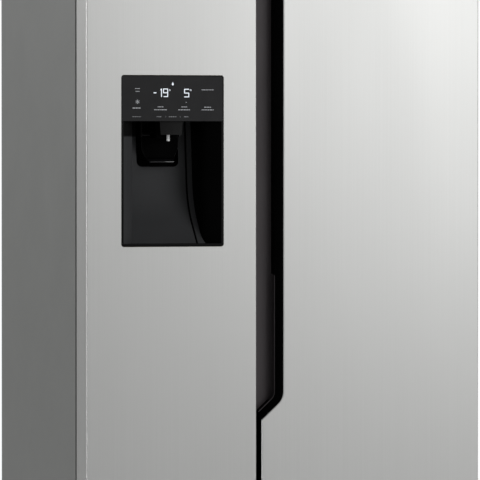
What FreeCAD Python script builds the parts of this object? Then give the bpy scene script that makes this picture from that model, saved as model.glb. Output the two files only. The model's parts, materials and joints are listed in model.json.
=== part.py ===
import FreeCAD, Part
import math
import os
from FreeCAD import Vector

# A side by side refrigerator: freezer on the left with an ice and water dispenser in its door,
# fridge on the right with a handle recess in its door. Millimetres. X runs along the width,
# +Y to the rear and +Z up. The origin is on the floor, under the middle of the whole.

os.makedirs("parts", exist_ok=True)

# Overall
overall_width = 910.0
overall_depth = 643.0
overall_height = 1786.0

# Case
hinge_cover_height = 36.0      # the hinge covers stand on the case's top
floor_gap = 30.0               # under the base frame
base_frame_height = 45.0
case_sheet = 1.0
case_flange = 24.0             # front return of the case's sheet
side_wall = 48.0               # insulated wall, outside of the sheet to inside of the liner
top_wall = 55.0
floor_wall = 55.0
back_wall = 61.5
mullion_thickness = 60.0
liner_thickness = 2.0
machine_depth = 191.5          # compressor compartment, from the rear
machine_height = 220.0         # and from the base frame's underside
step_wall = 45.0               # insulation over and before the compartment

# Doors
door_thickness = 70.0
gasket_gap = 11.5              # between a closed door and the case
door_gap = 12.0                # between the two doors
freezer_door_width = 389.0
door_floor_gap = 50.0
door_top_gap = 2.0             # below the case's top
door_cap_height = 18.0
skin_thickness = 1.0
skin_bend = 3.0                # outside radius of the skin's bends
gasket_width = 18.0
gasket_clearance = 0.3
gasket_hinge_inset = 22.0      # from the case's side, so the gasket starts behind the hinge's axis
gasket_free_inset = 4.0        # from the door's free edge
gasket_floor_lift = 32.0       # from the door's bottom
gasket_top_drop = 8.0
dyke_height = 34.0             # raised rim of a door's liner, behind the case's front
dyke_width = 14.0
dyke_side_gap = 12.0           # to the compartment's wall on the hinge side
dyke_free_gap = 16.0           # and on the free side, where the rim swings outwards
dyke_end_gap = 12.0
pan_depth = 46.5               # hollow of a door's liner, from the door's front

# Hinges
hinge_inset_x = 20.0           # axis from the case's side
hinge_inset_y = 46.5           # axis from the doors' front
hinge_pin_radius = 5.0
hinge_pin_clearance = 0.1
hinge_pin_reach = 14.0         # into the door's cap
hinge_plate = 4.0
hinge_plate_width = 76.0
hinge_plate_depth = 150.0
lower_hinge_lift = 7.0         # plate's underside below the door
lower_hinge_drop = 36.0        # height of its upright leg
hinge_rest_gap = 0.3

# Handle recess in the fridge door's free edge
recess_width = 50.0
recess_depth = 50.0
recess_bottom = 643.0          # where the slanted end leaves the free edge
recess_corner_height = 688.5   # where it meets the upright edge
recess_corner_radius = 36.0
recess_slant = 10.5            # the wall leans in by this much
recess_slant_depth = 25.0
recess_trim = 2.0
grip_bottom = 668.0            # finger pocket behind the recess's edge
grip_top = 962.0
grip_reach = 22.0
grip_radius = 28.0
grip_depth = 26.0              # of its rim, from the door's front
edge_trim_setback = 4.0        # black trim on the freezer door's edge, behind the skin

# Dispenser
dispenser_inset = 79.4         # from the freezer door's outer edge
dispenser_width = 234.0
dispenser_bottom = 1022.7
dispenser_height = 372.3
dispenser_corner = 6.0
dispenser_panel_height = 100.2
dispenser_panel_thickness = 6.0
panel_setback = 0.4            # display glass behind the bezel's front
dispenser_fit = 0.3
dispenser_wall = 3.0
dispenser_rim = 5.0
dispenser_sill = 6.5
dispenser_frame_depth = 14.0
dispenser_head_inset = 12.0    # housing behind the panel, from the bezel's sides
cavity_foot_depth = 28.0       # scooped back of the cavity at its floor, from the door's front
cavity_knee_depth = 97.0       # and where it straightens up
cavity_knee_height = 1112.0
cavity_knee_radius = 160.0
cavity_top_depth = 114.0
cavity_bevel_depth = 34.0      # the sides close in up to this depth
cavity_bevel_inset = 33.0
cavity_back_inset = 33.0
cavity_groove = 63.5           # upright groove in the back, right of the middle
cavity_groove_width = 4.0
cavity_groove_depth = 2.0
nozzle_setback = 10.0          # shroud before the chute and the water spout
nozzle_bottom = 1265.5
nozzle_top_width = 53.0
nozzle_bottom_width = 48.0
nozzle_wall = 2.0
paddle_window_width = 96.0
paddle_window_bottom = 1196.0
paddle_window_height = 92.5
paddle_window_depth = 125.0    # from the door's front
paddle_window_corner = 12.0
paddle_pivot_height = 1270.0
paddle_setback = 92.0
paddle_width = 84.0
paddle_length = 62.0
paddle_thickness = 3.0
paddle_curl = 15.0             # its foot curls forwards by this much
paddle_taper = 18.0            # and is narrower by this much each side
paddle_barrel_radius = 5.0
paddle_pin_radius = 3.0
paddle_pin_clearance = 0.1
paddle_side_gap = 0.6
paddle_cheek = 3.0             # plates beside the paddle that carry its pin
paddle_cheek_setback = 84.0
paddle_cheek_bottom = 1262.0
bulge_floor = 985.0            # liner stands out behind the dispenser between these heights
bulge_top = 1440.0
bulge_reach = 60.0             # past the case's front
chute_width = 44.0
chute_depth = 40.0
chute_setback = 40.5
chute_wall = 2.5
chute_bottom = 1258.0
chute_bend = 1302.0
chute_top = 1424.0
chute_mouth = 178.0            # front edge of the chute's mouth, from the door's front
flap_height = 1294.0
flap_thickness = 2.0
flap_pin_radius = 1.6
flap_pin_clearance = 0.1
spout_radius = 3.6
spout_bore = 2.4
spout_bore_length = 20.0
spout_setback = 32.0
spout_bottom = 1252.0

# Shelves, drawers and bins
shelf_front = 90.0             # set back from the case's front
shelf_back_gap = 12.0
shelf_glass = 4.0
shelf_side_gap = 1.0
shelf_levels = [760.0, 990.0, 1220.0]
fridge_top_shelf = 1450.0
cover_level = 530.0            # glass over the drawers
ledge_width = 9.0
ledge_height = 6.0
trim_height = 12.0
trim_depth = 10.0
drawer_wall = 2.5
drawer_side_gap = 15.0
drawer_rim = 9.0
drawer_rim_thickness = 4.0
lower_drawer_bottom = 138.0
lower_drawer_height = 190.0
upper_drawer_bottom = 340.0
upper_drawer_height = 180.0
drawer_clearance = 0.3
bin_reach = 75.0               # past the case's front
bin_wall = 2.5
bin_height = 95.0
bin_side_gap = 0.3
freezer_bin_levels = [190.0, 380.0, 570.0, 760.0, 1500.0]
fridge_bin_levels = [190.0, 430.0, 680.0, 930.0, 1180.0]
dairy_level = 1440.0
dairy_height = 90.0
dairy_lid_thickness = 3.0
dairy_pin_radius = 2.5
dairy_pin_clearance = 0.1
dairy_pin_gap = 0.6

# Freezer fittings
evaporator_cover_gap = 80.0    # cover before the compartment's back
evaporator_cover_thickness = 3.0
bucket_bottom = 1430.0
bucket_height = 150.0
bucket_wall = 3.0
bucket_side_gap = 14.0
auger_radius = 34.0
auger_shaft_radius = 6.0
auger_lift = 42.0              # axis above the bucket's floor
auger_fit = 0.1
auger_turns = 9
evaporator_fan_height = 900.0
evaporator_fan_radius = 52.0
fan_shaft_radius = 3.0
fan_fit = 0.08
fan_blades = 5
fin_sheet = 1.0

# Base
foot_radius = 18.0
foot_thickness = 8.0
foot_stud_radius = 5.0
foot_inset_x = 55.0
foot_inset_y = 30.0            # behind the case's front
roller_radius = 14.0
roller_width = 20.0
roller_inset_x = 60.0
roller_inset_y = 50.0          # from the rear
roller_axle_radius = 4.0
roller_clearance = 0.08
kick_plate_thickness = 3.0
kick_slot_pitch = 24.0

# Machine compartment
condenser_fan_radius = 70.0
compressor_radius = 66.0
compressor_height = 150.0
grommet_radius = 11.0
grommet_height = 12.0
valve_x_inset = 60.0           # from the right side
valve_height = 120.0
valve_thread_radius = 9.5
valve_thread_length = 16.0
gland_x_inset = 95.0           # from the left side
gland_height = 70.0
gland_bore_radius = 4.5
gland_neck_radius = 8.0
gland_flange_radius = 11.0
gland_length = 14.0
cover_sheet = 2.0
cover_recess = 3.0             # before the case's rear edge, for the screws' heads
cover_slot_pitch = (50.0, 22.0)
screw_radius = 2.5
screw_head_radius = 4.7
screw_fit = 0.1

# Places worked out from the sizes above
left = -overall_width / 2
right = overall_width / 2
front = -overall_depth / 2
rear = overall_depth / 2
door_back = front + door_thickness
case_front = door_back + gasket_gap
case_top = overall_height - hinge_cover_height
case_floor = floor_gap + base_frame_height
door_bottom = door_floor_gap
door_top = case_top - door_top_gap
freezer_edge = left + freezer_door_width
fridge_edge = freezer_edge + door_gap
parting = (freezer_edge + fridge_edge) / 2
freezer_span = (left + side_wall, parting - mullion_thickness / 2)
fridge_span = (parting + mullion_thickness / 2, right - side_wall)
compartment_floor = case_floor + floor_wall
compartment_top = case_top - top_wall
compartment_back = rear - back_wall
machine_front = rear - machine_depth
machine_top = floor_gap + machine_height
step_front = machine_front - step_wall
step_top = machine_top + step_wall
hinge_y = front + hinge_inset_y
cover_back = rear - cover_recess
freezer_hinge_x = left + hinge_inset_x
fridge_hinge_x = right - hinge_inset_x


# Plain shapes

def block(x0, x1, y0, y1, z0, z1):
    return Part.makeBox(x1 - x0, y1 - y0, z1 - z0, Vector(x0, y0, z0))


def rod(radius, start, end):
    base = Vector(*start)
    axis = Vector(*end) - base
    return Part.makeCylinder(radius, axis.Length, base, axis)


def joined(shapes):
    return shapes[0].fuse(shapes[1:]).removeSplitter()


def trimmed(shape, cutters):
    return shape.cut(cutters).removeSplitter()


def group(shapes):
    return Part.makeCompound(shapes)


def save(name, shape):
    solids = shape.Solids
    if not solids or not all(solid.isValid() for solid in solids):
        raise ValueError("bad solid in " + name)
    group(solids).exportStep(os.path.join("parts", name + ".step"))


# A closed wire at the depth y, through corners given as (x, z), each with its own radius
def rounded_outline(corners, radii, y):
    points = [Vector(x, y, z) for x, z in corners]
    ends = []
    for i, here in enumerate(points):
        to_before = (points[i - 1] - here).normalize()
        to_after = (points[(i + 1) % len(points)] - here).normalize()
        if radii[i] == 0:
            ends.append((here, None, here))
            continue
        half = to_before.getAngle(to_after) / 2
        bisector = (to_before + to_after).normalize()
        reach = radii[i] / math.tan(half)
        middle = here + bisector * (radii[i] / math.sin(half) - radii[i])
        ends.append((here + to_before * reach, middle, here + to_after * reach))
    edges = []
    for i, (start, middle, stop) in enumerate(ends):
        if middle is not None:
            edges.append(Part.Arc(start, middle, stop).toShape())
        edges.append(Part.makeLine(stop, ends[(i + 1) % len(ends)][0]))
    return Part.Wire(edges)


# Corners of an anticlockwise outline, each side moved inwards
def inset_corners(corners, distance):
    moved = []
    for i, (x, z) in enumerate(corners):
        normals = []
        for (xa, za), (xb, zb) in ((corners[i - 1], (x, z)), ((x, z), corners[(i + 1) % len(corners)])):
            length = math.hypot(xb - xa, zb - za)
            normals.append(((za - zb) / length, (xb - xa) / length))
        (ax, az), (bx, bz) = normals
        share = distance / (1 + ax * bx + az * bz)
        moved.append((x + (ax + bx) * share, z + (az + bz) * share))
    return moved


def rectangle(x0, x1, z0, z1):
    return [(x0, z0), (x1, z0), (x1, z1), (x0, z1)]


def plate(corners, radii, y0, y1):
    return Part.Face(rounded_outline(corners, radii, y0)).extrude(Vector(0, y1 - y0, 0))


# A prism standing on an outline of (x, y) corners
def upright_prism(corners, radii, z0, z1):
    face = Part.Face(rounded_outline(corners, radii, 0))
    face.rotate(Vector(0, 0, 0), Vector(1, 0, 0), -90)
    face.translate(Vector(0, 0, z0))
    return face.extrude(Vector(0, 0, z1 - z0))


# A prism lying along X on an outline of (y, z) corners
def prism_along_x(corners, radii, x0, x1):
    face = Part.Face(rounded_outline(corners, radii, 0))
    face.rotate(Vector(0, 0, 0), Vector(0, 0, 1), 90)
    face.translate(Vector(x0, 0, 0))
    return face.extrude(Vector(x1 - x0, 0, 0))


# An open-topped box with walls of one thickness
def open_box(x0, x1, y0, y1, z0, z1, wall):
    return trimmed(block(x0, x1, y0, y1, z0, z1),
                   [block(x0 + wall, x1 - wall, y0 + wall, y1 - wall, z0 + wall, z1 + wall)])


# Case

def compartment(span, grow):
    room = block(span[0] - grow, span[1] + grow, case_front - grow, compartment_back + grow,
                 compartment_floor - grow, compartment_top + grow)
    step = block(span[0] - 2 * grow - 1, span[1] + 2 * grow + 1, step_front + grow, rear,
                 floor_gap, step_top - grow)
    return trimmed(room, [step])


def outer_shell():
    wrap = block(left, right, case_front, rear, floor_gap, case_top)
    inside = block(left + case_sheet, right - case_sheet, case_front + case_sheet, rear + 1,
                   floor_gap - 1, case_top - case_sheet)
    mouth = block(left + case_flange, right - case_flange, case_front - 1, case_front + 2,
                  floor_gap - 1, case_top - case_flange)
    # below the doors the front returns are cut away for the hinges' uprights
    foot = block(left + case_sheet, right - case_sheet, case_front - 1, case_front + 2,
                 floor_gap - 1, case_floor)
    return trimmed(wrap, [inside, mouth, foot])


def back_panel():
    return block(left + case_sheet, right - case_sheet, rear - case_sheet, rear,
                 machine_top + case_sheet, case_top - case_sheet)


def stepped_floor():
    x0 = left + case_sheet
    x1 = right - case_sheet
    flat = block(x0, x1, case_front + case_sheet, machine_front, case_floor, case_floor + case_sheet)
    riser = block(x0, x1, machine_front - case_sheet, machine_front, case_floor,
                  machine_top + case_sheet)
    roof = block(x0, x1, machine_front - case_sheet, rear, machine_top, machine_top + case_sheet)
    lip = block(left + case_flange, right - case_flange, case_front, case_front + case_sheet,
                case_floor, case_floor + case_flange)
    neck = block(left + case_flange, right - case_flange, case_front, case_front + 2 * case_sheet,
                 case_floor, case_floor + case_sheet)
    return joined([flat, riser, roof, lip, neck])


def cabinet_insulation():
    foam = block(left + case_sheet, right - case_sheet, case_front + liner_thickness,
                 rear - case_sheet, case_floor + case_sheet, case_top - case_sheet)
    machine = block(left, right, machine_front - case_sheet, rear, floor_gap, machine_top + case_sheet)
    return trimmed(foam, [machine, compartment(freezer_span, liner_thickness),
                          compartment(fridge_span, liner_thickness)])


# Ledges along both walls of a compartment, with their tops at the given heights
def ledges(span, tops, width, y0, y1):
    strips = []
    for z in tops:
        strips.append(block(span[0], span[0] + width, y0, y1, z - ledge_height, z))
        strips.append(block(span[1] - width, span[1], y0, y1, z - ledge_height, z))
    return strips


def drawer_runner_tops():
    tops = []
    for z, height in ((lower_drawer_bottom, lower_drawer_height), (upper_drawer_bottom, upper_drawer_height)):
        tops.append(z + height - drawer_rim_thickness - drawer_clearance)
    return tops


def compartment_liner(span, flange, levels, ledge_end):
    shell = trimmed(compartment(span, liner_thickness), [compartment(span, 0)])
    shell = trimmed(shell, [block(left, right, front, case_front, 0, overall_height)])
    face = block(flange[0], flange[1], case_front, case_front + liner_thickness,
                 case_floor + case_flange, case_top - case_flange)
    mouth = block(span[0], span[1], case_front - 1, case_front + liner_thickness + 1,
                  compartment_floor, compartment_top)
    shelf_y = (case_front + shelf_front, ledge_end)
    lower_runner, upper_runner = drawer_runner_tops()
    pieces = [shell, trimmed(face, [mouth])]
    pieces += ledges(span, levels + [cover_level], ledge_width, *shelf_y)
    pieces += ledges(span, [lower_runner], drawer_side_gap - 4, shelf_y[0], step_front)
    pieces += ledges(span, [upper_runner], drawer_side_gap - 4, *shelf_y)
    return joined(pieces)


def freezer_liner():
    levels = shelf_levels + [bucket_bottom]
    return compartment_liner(freezer_span, (left + case_flange, parting - case_flange / 2), levels,
                             evaporator_front() - 0.3)


def fridge_liner():
    levels = shelf_levels + [fridge_top_shelf]
    return compartment_liner(fridge_span, (parting + case_flange / 2, right - case_flange), levels,
                             compartment_back)


def centre_strip():
    return block(parting - case_flange / 2, parting + case_flange / 2, case_front,
                 case_front + liner_thickness, case_floor + case_flange, case_top - case_flange)


# Shelves and fittings inside

def shelf_places():
    places = []
    for span, levels in ((freezer_span, shelf_levels + [cover_level]),
                         (fridge_span, shelf_levels + [cover_level, fridge_top_shelf])):
        back = compartment_back if span is fridge_span else evaporator_front()
        for z in levels:
            places.append((span[0] + shelf_side_gap, span[1] - shelf_side_gap,
                           case_front + shelf_front, back - shelf_back_gap, z))
    return places


def evaporator_front():
    return compartment_back - evaporator_cover_gap


def glass_shelves():
    duct = duct_envelope(2.0)
    plates = []
    for x0, x1, y0, y1, z in shelf_places():
        sheet = block(x0, x1, y0 + trim_depth / 2, y1 - trim_depth / 2, z, z + shelf_glass)
        plates.append(trimmed(sheet, [duct]))
    return group(plates)


def shelf_trims():
    strips = []
    for x0, x1, y0, y1, z in shelf_places():
        glass = block(x0 - 1, x1 + 1, y0 + trim_depth / 2, y1 - trim_depth / 2, z, z + shelf_glass)
        inner0 = x0 + ledge_width
        inner1 = x1 - ledge_width
        z0 = z - (trim_height - shelf_glass) / 2
        bar = block(inner0, inner1, y0, y0 + trim_depth, z0, z0 + trim_height)
        bar = bar.makeFillet(2.0, [edge for edge in bar.Edges if edge.BoundBox.YMax < y0 + 0.1
                                   and edge.BoundBox.XLength > 1])
        strips.append(trimmed(bar, [glass]))
        strips.append(trimmed(block(inner0, inner1, y1 - trim_depth, y1, z0, z0 + trim_height),
                              [glass, duct_envelope(2.0)]))
    return group(strips)


def duct_envelope(grow):
    centre = (fridge_span[0] + fridge_span[1]) / 2
    return block(centre - 60 - grow, centre + 60 + grow, compartment_back - 28 - grow,
                 compartment_back, step_top + 20 - grow, compartment_top - 12 + grow)


def fridge_air_duct():
    body = duct_envelope(0)
    box = body.BoundBox
    hollow = block(box.XMin + 2, box.XMax - 2, box.YMin + 2, box.YMax + 1, box.ZMin + 2, box.ZMax - 2)
    holes = []
    for z in shelf_levels + [fridge_top_shelf]:
        for side in (-1, 1):
            x = (box.XMin + box.XMax) / 2 + side * 30
            corners = rectangle(x - 18, x + 18, z + 60, z + 72)
            holes.append(plate(corners, [5.9] * 4, box.YMin - 1, box.YMin + 3))
    return trimmed(body, [hollow] + holes)


def evaporator_cover():
    y = evaporator_front()
    x0 = freezer_span[0] + drawer_clearance
    x1 = freezer_span[1] - drawer_clearance
    panel = block(x0, x1, y, y + evaporator_cover_thickness, step_top + 5, compartment_top - 0.3)
    slots = []
    for row in range(5):
        z = evaporator_fan_height + 50 - row * 25
        for column in range(-2, 3):
            x = (x0 + x1) / 2 + column * 30
            slots.append(plate(rectangle(x - 11, x + 11, z - 4, z + 4), [3.9] * 4, y - 1, y + 4))
    for column in range(-4, 5):
        x = (x0 + x1) / 2 + column * 30
        slots.append(plate(rectangle(x - 11, x + 11, step_top + 25, step_top + 33), [3.9] * 4, y - 1, y + 4))
    return trimmed(panel, slots)


# A pack of thin fins on straight tubes, filling the box that is given
def fin_pack(x0, x1, y0, y1, z0, z1, pitch, tube_radius):
    pieces = []
    count = int((x1 - x0) // pitch)
    for i in range(count + 1):
        x = x0 + i * (x1 - x0 - fin_sheet) / count
        pieces.append(block(x, x + fin_sheet, y0, y1, z0, z1))
    tubes = []
    rows = max(2, int((z1 - z0) // 60))
    for i in range(rows):
        z = z0 + (i + 0.5) * (z1 - z0) / rows
        tubes.append(rod(tube_radius, (x0 - 4, (y0 + y1) / 2, z), (x1 + 4, (y0 + y1) / 2, z)))
    return joined(pieces + tubes)


def evaporator_coil():
    x0 = freezer_span[0] + 12
    x1 = freezer_span[1] - 12
    y0 = evaporator_front() + evaporator_cover_thickness + 8
    y1 = compartment_back - 10
    coil = fin_pack(x0, x1, y0, y1, step_top + 60, step_top + 420, 24, 5)
    # two pads hold it on the compartment's back
    pads = [block(x - 14, x + 14, y1 - 12, compartment_back - 0.3, z, z + 20)
            for x in (x0 + 60, x1 - 60) for z in (step_top + 90, step_top + 370)]
    return joined([coil] + pads)


# A fan on a bore along Y or X: hub, pitched blades and a hole for the motor's shaft
def fan_wheel(radius):
    hub = Part.makeCylinder(radius * 0.28, 16, Vector(0, 0, -8))
    pieces = [hub]
    for i in range(fan_blades):
        blade = block(radius * 0.2, radius, -radius * 0.28, radius * 0.28, -0.8, 0.8)
        blade.rotate(Vector(0, 0, 0), Vector(1, 0, 0), 24)
        blade.rotate(Vector(0, 0, 0), Vector(0, 0, 1), 360 * i / fan_blades)
        pieces.append(blade)
    bore = Part.makeCylinder(fan_shaft_radius + fan_fit, 20, Vector(0, 0, -10))
    limit = Part.makeCylinder(radius, 40, Vector(0, 0, -20))
    return trimmed(joined(pieces).common(limit), [bore])


def evaporator_fan_centre():
    return Vector((freezer_span[0] + freezer_span[1]) / 2, evaporator_front() + 22, evaporator_fan_height)


def evaporator_fan():
    wheel = fan_wheel(evaporator_fan_radius)
    wheel.rotate(Vector(0, 0, 0), Vector(1, 0, 0), 90)
    wheel.translate(evaporator_fan_centre())
    return wheel


def condenser_fan_centre():
    return Vector(parting + 70, machine_front + machine_depth / 2, floor_gap + 105)


def condenser_fan():
    wheel = fan_wheel(condenser_fan_radius)
    wheel.rotate(Vector(0, 0, 0), Vector(0, 1, 0), 90)
    wheel.translate(condenser_fan_centre())
    return wheel


def fan_motors():
    a = evaporator_fan_centre()
    motor_a = rod(20, (a.x, a.y + 14, a.z), (a.x, compartment_back - 0.3, a.z))
    shaft_a = rod(fan_shaft_radius, (a.x, a.y - 9, a.z), (a.x, a.y + 15, a.z))
    c = condenser_fan_centre()
    motor_c = rod(24, (c.x + 14, c.y, c.z), (c.x + 44, c.y, c.z))
    shaft_c = rod(fan_shaft_radius, (c.x - 9, c.y, c.z), (c.x + 15, c.y, c.z))
    leg = block(c.x + 24, c.x + 32, c.y - 18, c.y + 18, floor_gap + case_sheet * 2, c.z)
    foot = block(c.x + 16, c.x + 40, c.y - 30, c.y + 30, floor_gap + case_sheet * 2,
                 floor_gap + case_sheet * 2 + 3)
    return group([joined([motor_a, shaft_a]), joined([motor_c, shaft_c, leg, foot])])


# Ice making

def bucket_box():
    return (freezer_span[0] + bucket_side_gap, freezer_span[1] - bucket_side_gap,
            case_front + shelf_front, evaporator_front() - 28)


def auger_axis():
    return chute_centre(), bucket_bottom + auger_lift


def ice_bucket():
    x0, x1, y0, y1 = bucket_box()
    z1 = bucket_bottom + bucket_height
    box = open_box(x0, x1, y0, y1, bucket_bottom, z1, bucket_wall)
    x, z = auger_axis()
    outlet_y = front + chute_mouth
    outlet = block(x - chute_width / 2, x + chute_width / 2, y0 + bucket_wall + 1, outlet_y + chute_depth,
                   bucket_bottom - 1, bucket_bottom + bucket_wall + 1)
    shaft_hole = rod(auger_shaft_radius + auger_fit, (x, y1 - bucket_wall - 1, z), (x, y1 + 1, z))
    rims = [block(a, b, y0 + 20, y1 - 20, z1 - 4, z1) for a, b in ((x0 - 8, x0 + 1), (x1 - 1, x1 + 8))]
    seat = block(x0 - bucket_side_gap + 1, x1 + bucket_side_gap - 1, y0 + 25, y1 - 20,
                 bucket_bottom, bucket_bottom + 3)
    floor_feet = [seat.common(block(x0 - 20, x0 + 1, y0, y1, 0, overall_height)),
                  seat.common(block(x1 - 1, x1 + 20, y0, y1, 0, overall_height))]
    return trimmed(joined([box] + rims + floor_feet), [outlet, shaft_hole])


def ice_auger():
    x, z = auger_axis()
    x0, x1, y0, y1 = bucket_box()
    shaft = rod(auger_shaft_radius, (x, y0 + 14, z), (x, y1 + 6, z))
    pieces = [shaft]
    pitch = (y1 - y0 - 60) / auger_turns
    for i in range(auger_turns):
        blade = block(-11, 11, -1.5, 1.5, 0, auger_radius)
        blade.rotate(Vector(0, 0, 0), Vector(0, 0, 1), 35)
        blade.rotate(Vector(0, 0, 0), Vector(0, 1, 0), 80 * i)
        blade.translate(Vector(x, y0 + 30 + i * pitch, z))
        pieces.append(blade)
    socket = rod(fan_shaft_radius + fan_fit, (x, y1 - 2, z), (x, y1 + 7, z))
    return trimmed(joined(pieces), [socket])


def ice_auger_motor():
    x, z = auger_axis()
    y1 = bucket_box()[3]
    body = block(x - 35, x + 35, y1 + 7, evaporator_front(), z - 30, z + 30)
    drive = rod(fan_shaft_radius, (x, y1 - 1.5, z), (x, y1 + 8, z))
    return joined([body, drive])


def ice_maker():
    x = (freezer_span[0] + freezer_span[1]) / 2
    y0 = case_front + shelf_front + 60
    y1 = evaporator_front() - 20
    z0 = bucket_bottom + bucket_height + 22
    z1 = z0 + 42
    mould = block(x - 55, x + 55, y0, y1, z0, z1)
    count = 8
    pitch = (y1 - y0 - 40) / count
    pockets = []
    for i in range(count):
        y = y0 + 34 + i * pitch
        pockets.append(Part.makeCylinder(34, pitch - 3, Vector(x, y, z1 + 6), Vector(0, 1, 0)))
    head = block(x - 60, x + 60, y0 - 30, y0 + 2, z0 - 6, z1 + 8)
    hangers = [block(x + side * 50 - 3, x + side * 50 + 3, y, y + 24, z1 - 4, compartment_top - 0.3)
               for side in (-1, 1) for y in (y0 + 6, y1 - 40)]
    return joined([trimmed(mould, pockets), head] + hangers)


def cabinet_lights():
    lamps = []
    for span in (freezer_span, fridge_span):
        x = (span[0] + span[1]) / 2
        y = case_front + shelf_front / 2
        lens = plate(rectangle(x - 70, x + 70, compartment_top - 9, compartment_top - 0.3), [3] * 4,
                     y - 15, y + 15)
        lamps.append(lens)
    return group(lamps)


# Hinges

# A rounded plate lying flat, with its corners of one radius
def flat_plate(x0, x1, y0, y1, z0, z1, radius):
    body = block(x0, x1, y0, y1, z0, z1)
    return body.makeFillet(radius, [edge for edge in body.Edges if edge.BoundBox.ZLength > (z1 - z0) * 0.9])


def hinge_sides():
    return ((freezer_hinge_x, 1), (fridge_hinge_x, -1))


def hinge_screw_places():
    places = []
    for x, side in hinge_sides():
        for dx, dy in ((10, 60), (42, 60), (10, 105), (42, 105)):
            places.append((x + side * dx, hinge_y + dy))
    return places


def upper_hinges():
    hinges = []
    for x, side in hinge_sides():
        x0, x1 = sorted((x - side * 12, x - side * 12 + side * hinge_plate_width))
        body = flat_plate(x0, x1, hinge_y - 14, hinge_y - 14 + hinge_plate_depth, case_top,
                          case_top + hinge_plate, 10)
        pin = rod(hinge_pin_radius, (x, hinge_y, door_top - hinge_pin_reach), (x, hinge_y, case_top + 1))
        holes = [rod(screw_radius + screw_fit, (sx, sy, case_top - 1), (sx, sy, case_top + 9))
                 for sx, sy in hinge_screw_places()]
        hinges.append(trimmed(joined([body, pin]), holes))
    return group(hinges)


def hinge_covers():
    covers = []
    for x, side in hinge_sides():
        x0, x1 = sorted((x - side * 18, x + side * (hinge_plate_width - 4)))
        y0 = hinge_y - 26
        y1 = hinge_y + hinge_plate_depth - 4
        shell = flat_plate(x0, x1, y0, y1, case_top + 0.3, overall_height, 14)
        top = [edge for edge in shell.Edges if edge.BoundBox.ZMin > overall_height - 0.1]
        shell = shell.makeFillet(8, top)
        hollow = flat_plate(x0 + 2.5, x1 - 2.5, y0 + 2.5, y1 - 2.5, case_top - 1, overall_height - 2.5, 11.5)
        covers.append(trimmed(shell, [hollow]))
    return group(covers)


def lower_hinges():
    hinges = []
    plate_bottom = door_bottom - lower_hinge_lift
    for x, side in hinge_sides():
        x0, x1 = sorted((x - side * 12, x - side * 12 + side * hinge_plate_width))
        flat = flat_plate(x0, x1, hinge_y - 14, case_front, plate_bottom, plate_bottom + hinge_plate, 8)
        leg_bottom = floor_gap + 4
        leg = block(x0, x1, case_front - hinge_plate, case_front, leg_bottom, leg_bottom + lower_hinge_drop)
        corner = block(x0, x1, case_front - 12, case_front, plate_bottom, plate_bottom + hinge_plate)
        root = (x, hinge_y, plate_bottom + 1)
        collar = rod(hinge_pin_radius + 4, root, (x, hinge_y, door_bottom - hinge_rest_gap))
        pin = rod(hinge_pin_radius, root, (x, hinge_y, door_bottom + hinge_pin_reach))
        hinges.append(joined([flat, leg, corner, collar, pin]))
    return group(hinges)


# Base and machine compartment

def roller_places():
    y = rear - roller_inset_y
    return [(left + roller_inset_x, y), (right - roller_inset_x, y)]


def foot_places():
    y = case_front + foot_inset_y
    return [(left + foot_inset_x, y), (right - foot_inset_x, y)]


def base_frame():
    x0 = left + case_sheet
    x1 = right - case_sheet
    thick = 2 * case_sheet
    tray = block(x0, x1, case_front + case_sheet, cover_back - cover_sheet, floor_gap, floor_gap + thick)
    rails = [block(x, x + thick, case_front + case_sheet, machine_front, floor_gap, case_floor)
             for x in (x0, x1 - thick)]
    rail_front = case_front + case_sheet
    front_rail = block(x0, x1, rail_front, rail_front + thick, floor_gap, case_floor)
    low_walls = [block(x, x + thick, machine_front - 10, cover_back - cover_sheet, floor_gap, floor_gap + 25)
                 for x in (x0, x1 - thick)]
    pieces = [tray, front_rail] + rails + low_walls
    for x, y in roller_places():
        for side in (-1, 1):
            cheek_x = x + side * (roller_width / 2 + 2.5)
            pieces.append(block(cheek_x - 1.5, cheek_x + 1.5, y - 12, y + 12,
                                roller_radius - 7, floor_gap + 1))
        pieces.append(rod(roller_axle_radius, (x - roller_width / 2 - 3.5, y, roller_radius),
                          (x + roller_width / 2 + 3.5, y, roller_radius)))
    holes = [rod(foot_stud_radius + 0.2, (x, y, floor_gap - 1), (x, y, floor_gap + 5))
             for x, y in foot_places()]
    return trimmed(joined(pieces), holes)


def rear_rollers():
    wheels = []
    for x, y in roller_places():
        half = roller_width / 2
        wheel = rod(roller_radius, (x - half, y, roller_radius), (x + half, y, roller_radius))
        rims = [edge for edge in wheel.Edges if edge.Closed and edge.Length > 10]
        wheel = wheel.makeFillet(2, rims)
        bore = rod(roller_axle_radius + roller_clearance, (x - 2 * half, y, roller_radius),
                   (x + 2 * half, y, roller_radius))
        wheels.append(trimmed(wheel, [bore]))
    return group(wheels)


def levelling_feet():
    feet = []
    for x, y in foot_places():
        disc = rod(foot_radius, (x, y, 0), (x, y, foot_thickness))
        nut_corners = [Vector(x + 9 * math.cos(math.radians(60 * i)), y + 9 * math.sin(math.radians(60 * i)),
                              foot_thickness - 1) for i in range(7)]
        nut = Part.Face(Part.makePolygon(nut_corners)).extrude(Vector(0, 0, 8))
        stud = rod(foot_stud_radius, (x, y, 1), (x, y, case_floor - 8))
        seat = rod(foot_stud_radius + 5, (x, y, floor_gap - 6.3), (x, y, floor_gap - 0.3))
        feet.append(joined([disc, nut, stud, seat]))
    return group(feet)


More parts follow.
